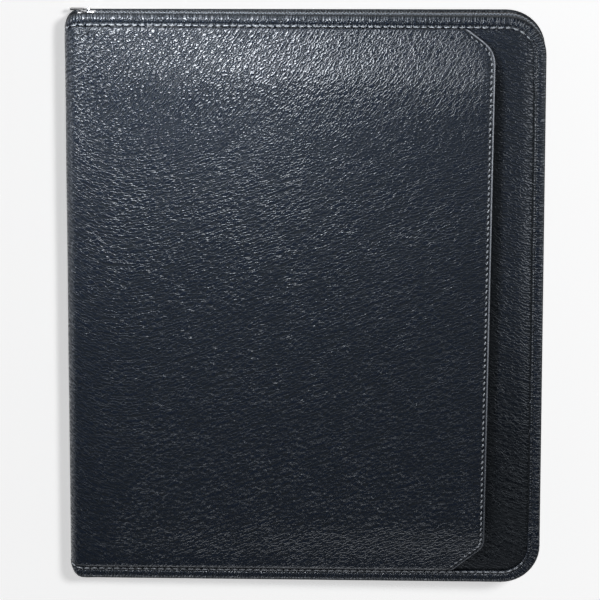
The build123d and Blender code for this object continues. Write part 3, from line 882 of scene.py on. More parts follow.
def faceLift(u, y):
    f = paddedFace
    lip = case["bindingWidth"]
    inset = insetAt(u, y)
    short = 1 - min(1.0, max(0.0, (inset - lip + 0.1) / f["shoulder"]))
    rise = 1 - short * short  # rounds over towards the binding
    crown = f["crown"] * smooth(lip, 30, inset) - 0.1
    soft = 0.10 * wobble(u * 0.11, y * 0.11, 4.0) + 0.16 * wobble(u * 0.03, y * 0.03, 9.0)
    pucker = 0.16 * math.exp(-(inset - lip) / 3.5) * wobble(u * 0.34, y * 0.34, 6.0)
    return crown - case["baseTop"] - f["groove"] * (1 - rise) + (soft + pucker) * rise


def makeFace():
    f = paddedFace
    inset = case["bindingWidth"] - f["tuck"]
    seam = halfHeight - inset
    rowCount = int(2 * seam / f["step"])
    rows = rowsTo(seam, rowCount, 0.93)
    columns, across = outAndBack(frontFold + 2, f["hidden"], 30, lambda y: rightEdge(y, inset), 54, 14,
                                 f["thick"], power=0.9)

    def pointAt(i, j):
        u, depth = across(i, rows[j])
        return wrapFront(u, rows[j], faceLift(u, rows[j]) - depth)

    def skinAt(i, j):
        u, depth = across(i, rows[j])
        return (400 - u, rows[j] + 60 + depth, 0)

    def finishAndPaintedLightAt(i, j):
        # painted shade: a painted shadow beside the pocket's raised mouth, darker towards the tail, and down
        # at the binding's groove
        y = rows[j]
        u = across(i, y)[0]
        # painted shadow beside the pocket's raised free edge
        mouth = f["shade"] * (1 - smooth(3.0, 9.0, max(0.0, u - case["mouth"]))) * (1 - smooth(124, 142, y))
        # painted shade, darker towards the tail
        low = f["shade"] * (1 - smooth(-130, 20, y))
        return 0.2, 0.0, max(mouth, low, 1 - smooth(7.0, 7.7, insetAt(u, y)))

    bm = ribbonGrid(columns, rowCount, pointAt, skinAt, finishAndPaintedLightAt)
    return addPiece("front_padded_face", bm, coverLeather, "front_cover", ("front_leather",))


face = makeFace()
print("padded face ready")


# Bindings: a folded strip round head, fore edge and tail, running over the roll to the middle of the spine
binding = {
    "frontThick": 3.7,
    "backThick": 3.4,
    "backLevel": -0.3,
    "frontLevel": -0.1,
    "strip": 0.55,  # thickness of the folded leather
    "grooveInset": 5.3,
    "rollReach": 3.4,  # how far in the outer roll reaches
    "rollOver": 0.09,  # how far it stands over the faces
    "stitchInset": 6.4,
    "stitchPitch": 4.3,
    "stitchLength": 3.3,
    "stitchThick": 0.95,
    "stitchLift": 0.06,
    "foreSink": 0.45,  # along the fore edge the stitches are drawn deeper
    "wave": 0.10,
    "lump": 0.13,
}


def bindingProfile(thick):
    # (inset, height) round a folded strip: a stitched lip, a groove beside it, the crown and the outer roll
    b = binding
    half = thick / 2
    outside = [(7.25, -1.0), (7.1, -0.6), (6.9, -0.25), (6.55, 0.04), (6.1, 0.05), (5.7, -0.2)]
    outside += [(b["grooveInset"], -0.5), (5.05, -0.36), (4.7, -0.08), (4.3, 0.04), (3.8, 0.1), (3.2, 0.15)]
    for i in range(10):
        angle = math.radians(80 - 160 * i / 9)
        inset = b["rollReach"] * (1 - math.cos(angle))
        outside.append((inset, b["rollOver"] - half + (half + b["rollOver"]) * math.sin(angle)))
    outside.append((7.0, -thick))
    under = b["strip"] - thick
    return outside + [(7.0, under), (2.0, under), (1.1, -half), (2.0, -0.75)]


def makeBinding(name, wrap, start, levelAt, thick, blend, stands, stitchName):
    b = binding
    bm = bmesh.new()
    skin = bm.verts.layers.float_vector.new("skin")
    deep, gather = (bm.verts.layers.float.new(layer) for layer in ("deep", "gather"))
    sweepEdge(bm, bindingProfile(thick), start)
    for v in bm.verts:
        u, y, h = v.co
        s = trackAlong(u, y, start)
        inset = insetAt(u, y)
        v[skin] = (s, h * 1.2 - inset, 0)
        # painted shade in the groove, down the lip's inner side short of the head and tail, and round the
        # outer roll
        if inset > b["stitchInset"]:
            v[deep] = 1 - smooth(125, 140, abs(y))
        elif inset < 1.9:
            v[deep] = 0.94 * (1 - smooth(0.7, 1.9, inset))
        else:
            v[deep] = 1.0 if abs(inset - b["grooveInset"]) < 0.2 else 0.0
        v[gather] = 0.45
        sway = b["wave"] * wobble(s * 0.06, h * 0.2, start) * (1 - smooth(4, 7, inset))
        lump = b["lump"] * wobble(s * 0.27, inset * 0.25, 7.0 + start)
        v.co = wrap(u, y, h + levelAt(u) + lump + sway)
    blend(addPiece(name, bm, bindingLeather, stands=stands))

    def stitchLevel(u):
        return levelAt(u) + b["stitchLift"] - b["foreSink"] * smooth(width - 14, width - 8, u)

    bm = edgeStitches(wrap, b["stitchInset"], start, stitchLevel, b["stitchPitch"], b["stitchLength"],
                      b["stitchThick"])
    blend(addPiece(stitchName, bm, thread))


def frontBindingLevel(u):
    # down from the spine's face to the padded face
    level = binding["frontLevel"]
    return lerp(level, level - case["baseTop"], smooth(frontFold - frontArc, frontFold + 12, u))


makeBinding("front_edge_binding", wrapFront, frontStart, frontBindingLevel, binding["frontThick"], blendFront,
            ("front_binding", "spine_end_bindings"), "front_binding_stitches")
makeBinding("back_edge_binding", wrapBack, backStart, lambda u: binding["backLevel"], binding["backThick"],
            blendBack, ("back_binding",), "back_binding_stitches")
print("bindings sewn")


# Back leather, from the middle of the spine over the lower roll and under the whole case
backSkin = {"seam": 161.3, "thick": 1.0, "step": 2.4, "groove": 0.5, "tuck": 0.1}


def makeBackLeather():
    b = backSkin
    inset = case["bindingWidth"] - b["tuck"]
    rowCount = int(2 * b["seam"] / b["step"])
    rows = rowsTo(b["seam"], rowCount, 0.9)
    columns, across = outAndBack(backStart, fold, 13, lambda y: rightEdge(y, inset), 110, 30, b["thick"],
                                 power=0.94)

    def pointAt(i, j):
        y = rows[j]
        u, depth = across(i, y)
        sink = -b["groove"] * (1 - smooth(6.8, 9.5, insetAt(u, y)))
        soft = -0.12 + 0.1 * wobble(u * 0.03, y * 0.03, 12.0) if u > fold else 0.0
        return wrapBack(u, y, sink + soft - depth)

    def skinAt(i, j):
        u, depth = across(i, rows[j])
        return (2 * backStart - u, rows[j] + depth, 0)

    bm = ribbonGrid(columns, rowCount, pointAt, skinAt)
    blendBack(addPiece("back_leather_skin", bm, coverLeather, stands=("back_leather", "spine_leather")))


makeBackLeather()
print("back leather ready")


# Zipper: two woven tapes, two rows of moulded teeth, end stops, slider and pull
zipper = {
    "tapeStart": 7.2,
    "teethStart": 9.2,
    "tapeInset": 1.5,  # the closed zip bows out by half a millimetre
    "tapeThick": 0.5,
    "flangeInset": 6.8,
    "frontFlange": -5.2,  # height of the flanges, from each cover's leather
    "backFlange": -3.5,
    "wallEnd": 1.0,  # the tapes' walls end this far from the zipper's middle
    "pitch": 2.0,
    "toothLong": 1.05,
    "toothDeep": 2.0,
    "toothTall": 1.35,
    "toothBevel": 0.22,
    "toothSlim": 0.82,  # the head that meshes with the other row is slimmer
    "postGap": 0.8,
    "toothSink": 0.25,
    "stop": (1.9, 2.0, 1.1),
    "stopLevel": 0.95,
    "sliderInset": 2.0,
    "sliderAt": 13.45,
    "sliderLong": 8.5,
    "sliderWide": 5.3,
    "sliderCorner": 1.2,
    "sliderTaper": 0.22,  # narrower where the rows leave it closed
    "plateLevel": 1.12,
    "plate": 0.8,
    "flangeShort": 3.2,  # the side flanges are this much shorter than the plates
    "lug": (2.0, 2.1, 0.6),
    "lugAside": 1.3,
    "pinLevel": 3.02,
    "pinRadius": 0.42,
    "pinLong": 3.4,
    "eyeRadius": 0.95,
    "eyeBore": 0.5,
    "eyeWide": 1.8,
    "neck": 2.4,  # from the pin to the tab
    "pullLong": 10.5,
    "pullWide": 3.6,
    "pullThick": 0.8,
    "pullCorner": 0.9,
    "pullRim": 0.45,
}


def tapeMaterial():
    # woven polyester zipper tape: fine herringbone ribs, matt
    material, tree, surface = newMaterial("woven zipper tape", Roughness=0.85, Sheen_Weight=0.05,
                                          Sheen_Roughness=0.5)
    skin = addNode(tree, "Attribute", {"attribute_name": "skin"})
    ribs = addNode(tree, "TexWave", {"wave_type": "BANDS", "bands_direction": "DIAGONAL"},
                   Vector=(skin, "Vector"), Scale=waveRepeat / 0.5712, Distortion=0.6, Detail=1.0)
    fuzz = addNode(tree, "TexNoise", Vector=(skin, "Vector"), Scale=1 / 0.5, Detail=2.0)
    weave = addNode(tree, "Math", {"operation": "MULTIPLY"}, i0=(ribs, "Fac"), i1=(fuzz, "Fac"))
    tint = addNode(tree, "Mix", inColour, Factor=(weave, 0), i6=linear("#07080b"), i7=linear("#14171c"))
    bump = addNode(tree, "Bump", Strength=0.8, Distance=0.12 * mm, Height=(weave, 0))
    setInputs(tree, surface, Base_Color=(tint, 2), Normal=(bump, 0))
    return material


def toothMaterial():
    # moulded acetal teeth: dark, glossy, with a faint mould texture
    material, tree, surface = newMaterial("moulded zipper teeth", IOR=1.48)
    place = addNode(tree, "TexCoord")
    mould = addNode(tree, "TexNoise", Vector=(place, "Object"), Scale=1 / (1.111 * mm), Detail=2.0)
    tint = addNode(tree, "Mix", inColour, Factor=(mould, "Fac"), i6=linear("#5a616b"), i7=linear("#8a929c"))
    gloss = addNode(tree, "MapRange", Value=(mould, "Fac"), To_Min=0.16, To_Max=0.34)
    setInputs(tree, surface, Base_Color=(tint, 2), Roughness=(gloss, 0))
    return material


def platedMaterial(name, lowHex, highHex, metallic, roughness, coat):
    # die-cast zinc, plated or enamelled, with faint tumbling marks
    material, tree, surface = newMaterial(name, Metallic=metallic, Coat_Weight=coat, Coat_Roughness=0.12)
    place = addNode(tree, "TexCoord")
    marks = addNode(tree, "TexNoise", Vector=(place, "Object"), Scale=1 / (0.625 * mm), Detail=3.0)
    tint = addNode(tree, "Mix", inColour, Factor=(marks, "Fac"), i6=linear(lowHex), i7=linear(highHex))
    gloss = addNode(tree, "MapRange", Value=(marks, "Fac"), To_Min=roughness - 0.07, To_Max=roughness + 0.1)
    bump = addNode(tree, "Bump", Strength=0.3, Distance=0.02 * mm, Height=(marks, "Fac"))
    setInputs(tree, surface, Base_Color=(tint, 2), Roughness=(gloss, 0), Normal=(bump, 0))
    return material


tapeWeave = tapeMaterial()
toothAcetal = toothMaterial()
nickel = platedMaterial("nickel plated zinc", "#a9abb0", "#d8dade", 1.0, 0.22, 0.0)
blackEnamel = platedMaterial("black enamelled zinc", "#0c0d10", "#1b1d21", 0.0, 0.3, 0.6)


def frontToothHeight(u, off):
    # height over the front leather of a level near the zipper's middle
    half = slope / 2
    return off / math.cos(half) - u * math.tan(half) - (case["spineHeight"] - case["toothLevel"])


def backToothHeight(u, off):
    half = slope / 2
    return -(case["toothLevel"] + u * math.tan(half) + off / math.cos(half))


def makeTape(name, wrap, level, toothHeight, off, body, stands):
    # an L in section: a flange sewn to the binding and a wall that carries the teeth
    z = zipper
    bm = bmesh.new()
    skin = bm.verts.layers.float_vector.new("skin")
    inner = z["tapeInset"] + z["tapeThick"] / 2
    outer = z["tapeInset"] - z["tapeThick"] / 2
    profile = [(z["flangeInset"], 0.0), (outer + 0.4, 0.0), (outer, -0.02)]
    profile += [(outer, -0.25), (outer, -0.5), (outer, -0.75), (outer, -1.0), (inner, -1.0)]
    profile += [(inner, -0.5), (inner, -0.12), (inner + 0.3, -0.1), (z["flangeInset"], -0.1)]
    sweepEdge(bm, profile, z["tapeStart"])
    for v in bm.verts:
        u, y, h = v.co
        s = trackAlong(u, y, z["tapeStart"])
        inset = insetAt(u, y)
        if inset > inner + 0.1:
            height = level + h * 4.0  # the flange keeps its thickness
        else:
            height = lerp(level, toothHeight(u, off), -h)
        bow = 0.12 * wobble(s * 0.05, h, 3.0) * math.sin(math.pi * -h) if inset < 3 else 0.0
        v[skin] = (s, height + inset, 0)
        v.co = wrap(u, y + math.copysign(bow, y), height)
    addPiece(name, bm, tapeWeave, body, stands, sharp=50)


makeTape("front_tape", wrapFront, zipper["frontFlange"], frontToothHeight, zipper["wallEnd"], "front_cover",
         ("front_zipper_tape",))
makeTape("back_tape", wrapBack, zipper["backFlange"], backToothHeight, -zipper["wallEnd"], "back_cover",
         ("back_zipper_tape",))


def makeTeeth(name, side, body, stands):
    # one moulded tooth, repeated along the tape
    z = zipper
    seed = bmesh.new()
    addBlock(seed, (z["toothLong"], z["toothDeep"], z["toothTall"]))
    bevelEdges(seed, seed.edges, z["toothBevel"], 1)
    for v in seed.verts:
        if v.co.z * side < 0:
            v.co.x *= z["toothSlim"]
    shape = bpy.data.meshes.new(name + "_seed")
    seed.to_mesh(shape)
    seed.free()
    bm = bmesh.new()
    total = trackLength(z["tapeInset"], z["teethStart"])
    count = int(total / z["pitch"])
    level = side * (z["postGap"] / 2 + z["toothTall"] / 2 - z["toothSink"])
    for i in range(count):
        s = (i + 0.5 + 0.25 * side) * total / count  # the two rows are half a pitch apart
        u, y = edgeTrack(z["tapeInset"], z["teethStart"], s)
        uNext, yNext = edgeTrack(z["tapeInset"], z["teethStart"], s + 0.2)
        turn = math.atan2(yNext - y, uNext - u)
        tooth = shape.copy()
        tooth.transform(toothPlace @ Matrix.Translation((u, y, level)) @ Matrix.Rotation(turn, 4, "Z"))
        bm.from_mesh(tooth)
        bpy.data.meshes.remove(tooth)
    bpy.data.meshes.remove(shape)
    addPiece(name, bm, toothAcetal, body, stands, sharp=35)


makeTeeth("front_teeth", 1, "front_cover", ("front_zipper_teeth",))
makeTeeth("back_teeth", -1, "back_cover", ("back_zipper_teeth",))


def makeStops(name, side, body, stands):
    # a pressed block at each end of a row
    z = zipper
    bm = bmesh.new()
    for end in (1, -1):
        along = (z["tapeStart"] + z["teethStart"]) / 2
        at = Vector((along, end * (halfHeight - z["tapeInset"]), side * z["stopLevel"]))
        addRoundedBlock(bm, z["stop"], toothPlace @ Matrix.Translation(at), 0.3)
    addPiece(name, bm, nickel, body, stands, sharp=50)


makeStops("front_stops", 1, "front_cover", ("front_end_stops",))
makeStops("back_stops", -1, "back_cover", ("back_end_stops",))


def deepEdges(bm, verts):
    # edges that run through a plate
    return [e for e in bm.edges if e.verts[0] in verts and abs((e.verts[0].co - e.verts[1].co).y) > 0.5]


def makeSlider(middle):
    # two plates with side flanges, joined by a post between the rows
    z = zipper
    bm = bmesh.new()
    for side in (1, -1):
        known = addBlock(bm, (z["sliderLong"], z["plate"], z["sliderWide"]))
        bevelEdges(bm, deepEdges(bm, freshVerts(bm, known)), z["sliderCorner"], 4)
        fresh = freshVerts(bm, known)
        rims = [e for e in bm.edges if e.verts[0] in fresh and abs((e.verts[0].co - e.verts[1].co).y) < 0.01
                and e.verts[0].co.y * side > 0]
        bevelEdges(bm, rims, 0.25, 2)
        fresh = freshVerts(bm, known)
        for v in fresh:
            v.co.z *= 1 - z["sliderTaper"] * smooth(1.0, -z["sliderLong"] / 2, v.co.x)
        level = side * (z["plateLevel"] + z["plate"] / 2)
        bmesh.ops.transform(bm, matrix=middle @ Matrix.Translation((0, level, 0)), verts=fresh)
        flange = (z["sliderLong"] - z["flangeShort"], z["plateLevel"] - 0.42, 0.7)
        addRoundedBlock(bm, flange, middle @ Matrix.Translation((0.4, side * 0.78, -1.98)), 0.15)
    post = (2.4, 2 * z["plateLevel"] + 0.2, 0.5)
    addRoundedBlock(bm, post, middle @ Matrix.Translation((1.85, 0, 0)), 0.12)
    addPiece("zip_slider", bm, nickel, "slider", ("slider_body",), sharp=40)


def makeBail(middle, pin):
    # two lugs and the pin that the pull turns on
    z = zipper
    bm = bmesh.new()
    for side in (1, -1):
        lug = middle @ Matrix.Translation((0, z["plateLevel"] + z["plate"] + 1.02, side * z["lugAside"]))
        addRoundedBlock(bm, z["lug"], lug, 0.25, 3)
    bmesh.ops.create_cone(bm, cap_ends=True, segments=16, radius1=z["pinRadius"], radius2=z["pinRadius"],
                          depth=z["pinLong"], matrix=pin)
    addPiece("zip_bail", bm, nickel, "slider", ("slider_bail",), sharp=40)


def makePull(pin):
    # an eye on a neck, widening to a tab with a raised rim
    z = zipper
    bm = bmesh.new()
    bmesh.ops.create_circle(bm, cap_ends=False, segments=20, radius=z["eyeRadius"])
    for v in vertsOf(bmesh.ops.extrude_edge_only(bm, edges=bm.edges[:])["geom"]):
        v.co *= z["eyeBore"] / v.co.length
    wall = bmesh.ops.extrude_face_region(bm, geom=bm.faces[:])["geom"]
    bmesh.ops.translate(bm, vec=(0, 0, z["eyeWide"]), verts=vertsOf(wall))
    bmesh.ops.translate(bm, vec=(0, 0, -z["eyeWide"] / 2), verts=bm.verts)
    bmesh.ops.transform(bm, matrix=pin, verts=bm.verts)
    addRoundedBlock(bm, (2.2, z["pullThick"] - 0.05, 1.7), pin @ Matrix.Translation((-1.9, 0, 0)), 0.2)
    tabLong = z["pullLong"] - z["neck"]
    known = addBlock(bm, (tabLong, z["pullThick"], z["pullWide"]))
    bevelEdges(bm, deepEdges(bm, freshVerts(bm, known)), z["pullCorner"], 4)
    fresh = freshVerts(bm, known)
    flats = [f for f in bm.faces if f.verts[0] in fresh and abs(f.normal.y) > 0.9]
    bmesh.ops.inset_individual(bm, faces=flats, thickness=z["pullRim"], depth=-0.12)
    tab = pin @ Matrix.Translation((-z["neck"] - tabLong / 2, 0, 0))
    bmesh.ops.transform(bm, matrix=tab, verts=freshVerts(bm, known))
    addPiece("zip_pull", bm, blackEnamel, "pull", ("pull_tab",), sharp=40)


sliderMiddle = toothPlace @ Matrix.Translation((zipper["sliderAt"], halfHeight - zipper["sliderInset"], 0))
pinPlace = sliderMiddle @ Matrix.Translation((0, zipper["pinLevel"], 0))
makeSlider(sliderMiddle)
makeBail(sliderMiddle, pinPlace)
makePull(pinPlace)
print("zipper ready")


# Linings, pockets, writing pad and pen loop; levels are heights from a cover's leather, so inwards is minus

def clothMaterial(name, lowHex, highHex, rib, direction, sheen):
    # woven cloth, with its ribs drawn about twice as coarse as real so that they show
    material, tree, surface = newMaterial(name, Roughness=0.82, Sheen_Weight=sheen, Sheen_Roughness=0.45)
    skin = addNode(tree, "Attribute", {"attribute_name": "skin"})
    warp = addNode(tree, "TexWave", {"wave_type": "BANDS", "bands_direction": direction},
                   Vector=(skin, "Vector"), Scale=waveRepeat / rib, Distortion=0.4, Detail=1.0)
    weft = addNode(tree, "TexWave", {"wave_type": "BANDS", "bands_direction": "Y"},
                   Vector=(skin, "Vector"), Scale=0.8 * waveRepeat / rib, Distortion=0.3, Detail=1.0)
    slub = addNode(tree, "TexNoise", Vector=(skin, "Vector"), Scale=1 / 2.857, Detail=3.0)
    weave = addNode(tree, "Math", {"operation": "MULTIPLY_ADD"}, i0=(weft, "Fac"), i1=0.5, i2=(warp, "Fac"))
    toneMix = addNode(tree, "Math", {"operation": "MULTIPLY"}, i0=(weave, 0), i1=(slub, "Fac"))
    tint = addNode(tree, "Mix", inColour, Factor=(toneMix, 0), i6=linear(lowHex), i7=linear(highHex))
    bump = addNode(tree, "Bump", Strength=0.6, Distance=0.12 * mm, Height=(weave, 0))
    setInputs(tree, surface, Base_Color=(tint, 2), Normal=(bump, 0))
    return material


def fibreMaterial(name, lowHex, highHex, fibre, roughness):
    # pressed fibre, such as board, card or felt: short flecks in two tones, matt
    material, tree, surface = newMaterial(name, Roughness=roughness)
    place = addNode(tree, "TexCoord")
    fleck = addNode(tree, "TexNoise", Vector=(place, "Object"), Scale=1 / (fibre * mm), Detail=4.0,
                    Roughness=0.65)
    tint = addNode(tree, "Mix", inColour, Factor=(fleck, "Fac"), i6=linear(lowHex), i7=linear(highHex))
    bump = addNode(tree, "Bump", Strength=0.35, Distance=0.1 * mm, Height=(fleck, "Fac"))
    setInputs(tree, surface, Base_Color=(tint, 2), Normal=(bump, 0))
    return material


writingPad = {
    "ruling": 7.1,
    "margin": 31.0,
    "sheet": 0.16,  # its cut sides show sheets about this thick, coarser than real
    "quires": 10,
    "trim": 0.12,
    "slip": (-0.12, 0.05, 0.02),  # at the lowest, and at the highest in x and in y
    "curl": 0.9,
}


def ruledPaper(marginX):
    # uncoated writing paper, ruled in pale blue with a margin line; its cut sides show the sheets
    w = writingPad
    material, tree, surface = newMaterial("uncoated ruled paper", Roughness=0.88, Specular_IOR_Level=0.3)
    place = addNode(tree, "TexCoord")
    parts = addNode(tree, "SeparateXYZ", Vector=(place, "Object"))
    facing = addNode(tree, "NewGeometry")
    tilt = addNode(tree, "SeparateXYZ", Vector=(facing, "Normal"))
    flat = addNode(tree, "Math", {"operation": "GREATER_THAN"}, i0=(tilt, "Z"), i1=0.6)
    row = addNode(tree, "Math", {"operation": "PINGPONG"}, i0=(parts, "Y"), i1=w["ruling"] * mm / 2)
    line = addNode(tree, "Math", {"operation": "LESS_THAN"}, i0=(row, 0), i1=0.12 * mm)
    line = addNode(tree, "Math", {"operation": "MULTIPLY"}, i0=(line, 0), i1=(flat, 0))
    aside = addNode(tree, "Math", {"operation": "SUBTRACT"}, i0=(parts, "X"), i1=marginX * mm)
    aside = addNode(tree, "Math", {"operation": "ABSOLUTE"}, i0=(aside, 0))
    margin = addNode(tree, "Math", {"operation": "LESS_THAN"}, i0=(aside, 0), i1=0.15 * mm)
    margin = addNode(tree, "Math", {"operation": "MULTIPLY"}, i0=(margin, 0), i1=(flat, 0))
    pulp = addNode(tree, "TexNoise", Vector=(place, "Object"), Scale=1 / (2.381 * mm), Detail=4.0)
    sheet = addNode(tree, "Math", {"operation": "PINGPONG"}, i0=(parts, "Z"), i1=w["sheet"] * mm)
    edge = addNode(tree, "MapRange", Value=(sheet, 0), From_Max=w["sheet"] * mm)
    page = addNode(tree, "Mix", inColour, Factor=(pulp, "Fac"), i6=linear("#f4f1e6"), i7=linear("#faf8f0"))
    cut = addNode(tree, "Mix", inColour, Factor=(edge, 0), i6=linear("#cfcabb"), i7=linear("#f3efe2"))
    whole = addNode(tree, "Mix", inColour, Factor=(flat, 0), i6=(cut, 2), i7=(page, 2))
    ruled = addNode(tree, "Mix", inColour, Factor=(line, 0), i6=(whole, 2), i7=linear("#a9c4de"))
    marked = addNode(tree, "Mix", inColour, Factor=(margin, 0), i6=(ruled, 2), i7=linear("#d99a98"))
    bump = addNode(tree, "Bump", Strength=0.25, Distance=0.05 * mm, Height=(pulp, "Fac"))
    setInputs(tree, surface, Base_Color=(marked, 2), Normal=(bump, 0))
    return material


def clearVinyl():
    # calendered clear vinyl: glossy, with a slow ripple
    material, tree, surface = newMaterial("clear vinyl", Transmission_Weight=1.0, IOR=1.45, Roughness=0.03)
    place = addNode(tree, "TexCoord")
    ripple = addNode(tree, "TexNoise", Vector=(place, "Object"), Scale=1 / (45.45 * mm), Detail=1.0)
    tint = addNode(tree, "Mix", inColour, Factor=(ripple, "Fac"), i6=linear("#eef2f3"), i7=linear("#fbfcfc"))
    bump = addNode(tree, "Bump", Strength=0.15, Distance=0.3 * mm, Height=(ripple, "Fac"))
    setInputs(tree, surface, Base_Color=(tint, 2), Normal=(bump, 0))
    return material


padLow, padHigh = (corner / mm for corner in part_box("pad_paper_block"))
liningTwill = clothMaterial("woven nylon lining", "#0f1115", "#2b2f36", 0.7, "DIAGONAL", 0.35)
elasticWeb = clothMaterial("woven elastic web", "#0d0e11", "#2a2d33", 0.9, "X", 0.25)
pocketLeather = leather("smooth pocket leather", "#2c2e34", "#16181c", leatherLook["pocketDepth"], 0.45, 0.15,
                        (leatherLook["pocketTurn"], leatherLook["restTurn"]))
greyBoard = fibreMaterial("grey bookbinding board", "#6d6a63", "#98948b", 0.5, 0.9)
greyCard = fibreMaterial("grey backing card", "#8c8982", "#b0aca3", 0.4, 0.85)
feltPadding = fibreMaterial("felted padding", "#77787a", "#9b9c9e", 0.3, 0.95)
stripPaper = fibreMaterial("coated head strip paper", "#22262e", "#343a45", 0.25, 0.4)
paper = ruledPaper(padLow.x + writingPad["margin"])
vinyl = clearVinyl()

for node, material in (("back_board", greyBoard), ("front_board", greyBoard), ("front_foam", feltPadding),
                       ("pad_backing_card", greyCard), ("pad_head_strip", stripPaper)):
    slots = frame["nodes"][node].data.materials
    slots.clear()
    slots.append(material)


# Felt between the spine's leather and its lining, cut short of the folded ends
spineFelt = {"outer": -1.15, "inner": -2.25, "short": 8.0, "overRoll": 0.3, "rows": 60}


def makeSpineFelt():
    f = spineFelt
    reach = halfHeight - f["short"]
    path = [(wrapFront, lerp(frontFold - f["overRoll"] * frontArc, frontStart, i / 10)) for i in range(11)]
    path += [(wrapBack, lerp(backStart, fold - f["overRoll"] * backArc, i / 10)) for i in range(1, 11)]
    count = len(path)
    rows = rowsTo(reach, f["rows"])

    def pointAt(i, j):
        wrap, u = path[i if i < count else 2 * count - 1 - i]
        return wrap(u, rows[j], f["outer"] if i < count else f["inner"])

    bm = ribbonGrid(2 * count, f["rows"], pointAt, lambda i, j: (i, j, 0))
    addPiece("spine_felt", bm, feltPadding, "spine", ("spine_padding",))


makeSpineFelt()


lining = {
    "inset": 3.0,
    "thick": 0.4,
    "rows": 120,
    "spineLevel": -2.8,
    "frontLevel": -4.8,
    "backLevel": -3.1,
    "lift": 0.06,
    "slack": 0.05,
}


def makeLining(name, wrap, start, foldAt, arc, coverLevel, blend, stands):
    # a sheet from the middle of the spine over the fold to under the binding
    n = lining
    seam = halfHeight - n["inset"]
    rows = rowsTo(seam, n["rows"])
    columns, across = outAndBack(start, foldAt + 6, 16, lambda y: rightEdge(y, n["inset"]), 80, 24,
                                 n["thick"])

    def pointAt(i, j):
        y = rows[j]
        u, depth = across(i, y)
        level = lerp(n["spineLevel"], coverLevel, smooth(foldAt - arc, foldAt + 4, u))
        slack = n["slack"] * wobble(u * 0.05, y * 0.05, 21.0) if u > foldAt else 0.0
        return wrap(u, y, level + n["lift"] + slack + depth)

    def skinAt(i, j):
        u, depth = across(i, rows[j])
        return (u + depth, rows[j], 0)

    bm = ribbonGrid(columns, n["rows"], pointAt, skinAt)
    obj = addPiece(name, bm, liningTwill, stands=stands)
    blend(obj)


makeLining("front_lining_cloth", wrapFront, frontStart, frontFold, frontArc, lining["frontLevel"], blendFront,
           ("front_lining", "spine_lining"))
makeLining("back_lining_cloth", wrapBack, backStart, fold, backArc, lining["backLevel"], blendBack,
           ("back_lining",))


def makeFrontPatch(name, box, level, thick, material, stands, edge=None, hem=0.0, soft=0.12, step=4.0):
    # a flat sewn piece with softly turned edges on the front cover's inner side: low, high in u and in y
    low, high, tail, head = box
    bm = bmesh.new()
    skin = bm.verts.layers.float_vector.new("skin")
    verts, sewnSide = addDoubleGrid(bm, int((high - low) / step), int((head - tail) / step))
    for v in verts:
        shareX = v.co.x + 0.5
        shareY = v.co.y + 0.5
        y = lerp(tail, head, shareY)
        u = lerp(low, min(high, edge(y)) if edge else high, shareX)
        rim = min(shareX * (high - low), (1 - shareX) * (high - low), shareY * (head - tail))
        h = level
        if v not in sewnSide:
            ripple = soft * wobble(u * 0.06, y * 0.06, level)
            h -= thick * (0.45 + 0.55 * smooth(0.0, 3.0, rim)) - min(0.0, ripple) * 0.5
            if hem and head - y < hem:
                h -= 0.25 * math.sin(math.pi * (head - y) / hem)
        v[skin] = (u, y, 0)
        v.co = wrapFront(u, y, h)
    return addPiece(name, bm, material, "front_cover", stands, sharp=60)


seamThread = {"pitch": 3.2, "drawn": 0.78, "thick": 0.55}  # a stitch shows for this share of the pitch


def seamStitches(bm, wrap, points, level):
    # a sewn line through flat points of a cover, on its inner side
    t = seamThread
    for (ua, ya), (ub, yb) in zip(points, points[1:]):
        ahead = wrap(ub, yb, level) - wrap(ua, ya, level)
        count = max(1, int(math.hypot(ub - ua, yb - ya) / t["pitch"]))
        for i in range(count):
            share = (i + 0.5) / count
            u = lerp(ua, ub, share)
            y = lerp(ya, yb, share)
            up = (wrap(u, y, level - 1) - wrap(u, y, level)).normalized()
            addStitch(bm, wrap(u, y, level), ahead, up, t["pitch"] * t["drawn"], t["thick"])


pocketLayer = 0.5  # thickness of one pocket leather
documentPocket = {"left": 40.0, "margin": 9.0, "long": 190.0, "seam": 2.5, "hem": 5.0}


def makeDocumentPocket(sewn, tail, head):
    # the full-width pocket that the card pockets are sewn to; gives the level of its face
    d = documentPocket
    near = d["left"]
    far = width - d["margin"]
    makeFrontPatch("document_pocket_leather", (near, far, tail, head), lining["frontLevel"], pocketLayer,
                   pocketLeather, ("document_pocket",),
                   lambda y: rightEdge(y, d["margin"]), d["hem"])
    level = lining["frontLevel"] - pocketLayer
    seam = d["seam"]
    arc = [(rightEdge(tail + rise, d["margin"] + seam), tail + seam + rise) for rise in (0.2, 2, 5, 9, 13)]
    sides = [(near + seam, head - 1), (near + seam, tail + seam)] + arc + [(far - seam, head - 1)]
    seamStitches(sewn, wrapFront, sides, level + 0.12)
    seamStitches(sewn, wrapFront, [(near + 3, head - 5.5), (far - 3, head - 5.5)], level + 0.06)
    return level


cardPockets = {
    "left": 108.0,
    "wide": 98.0,
    "tail": 30.0,
    "long": 58.0,
    "step": 16.0,
    "hem": 4.0,
    "seam": 1.6,
    "seamLong": 26.0,
}


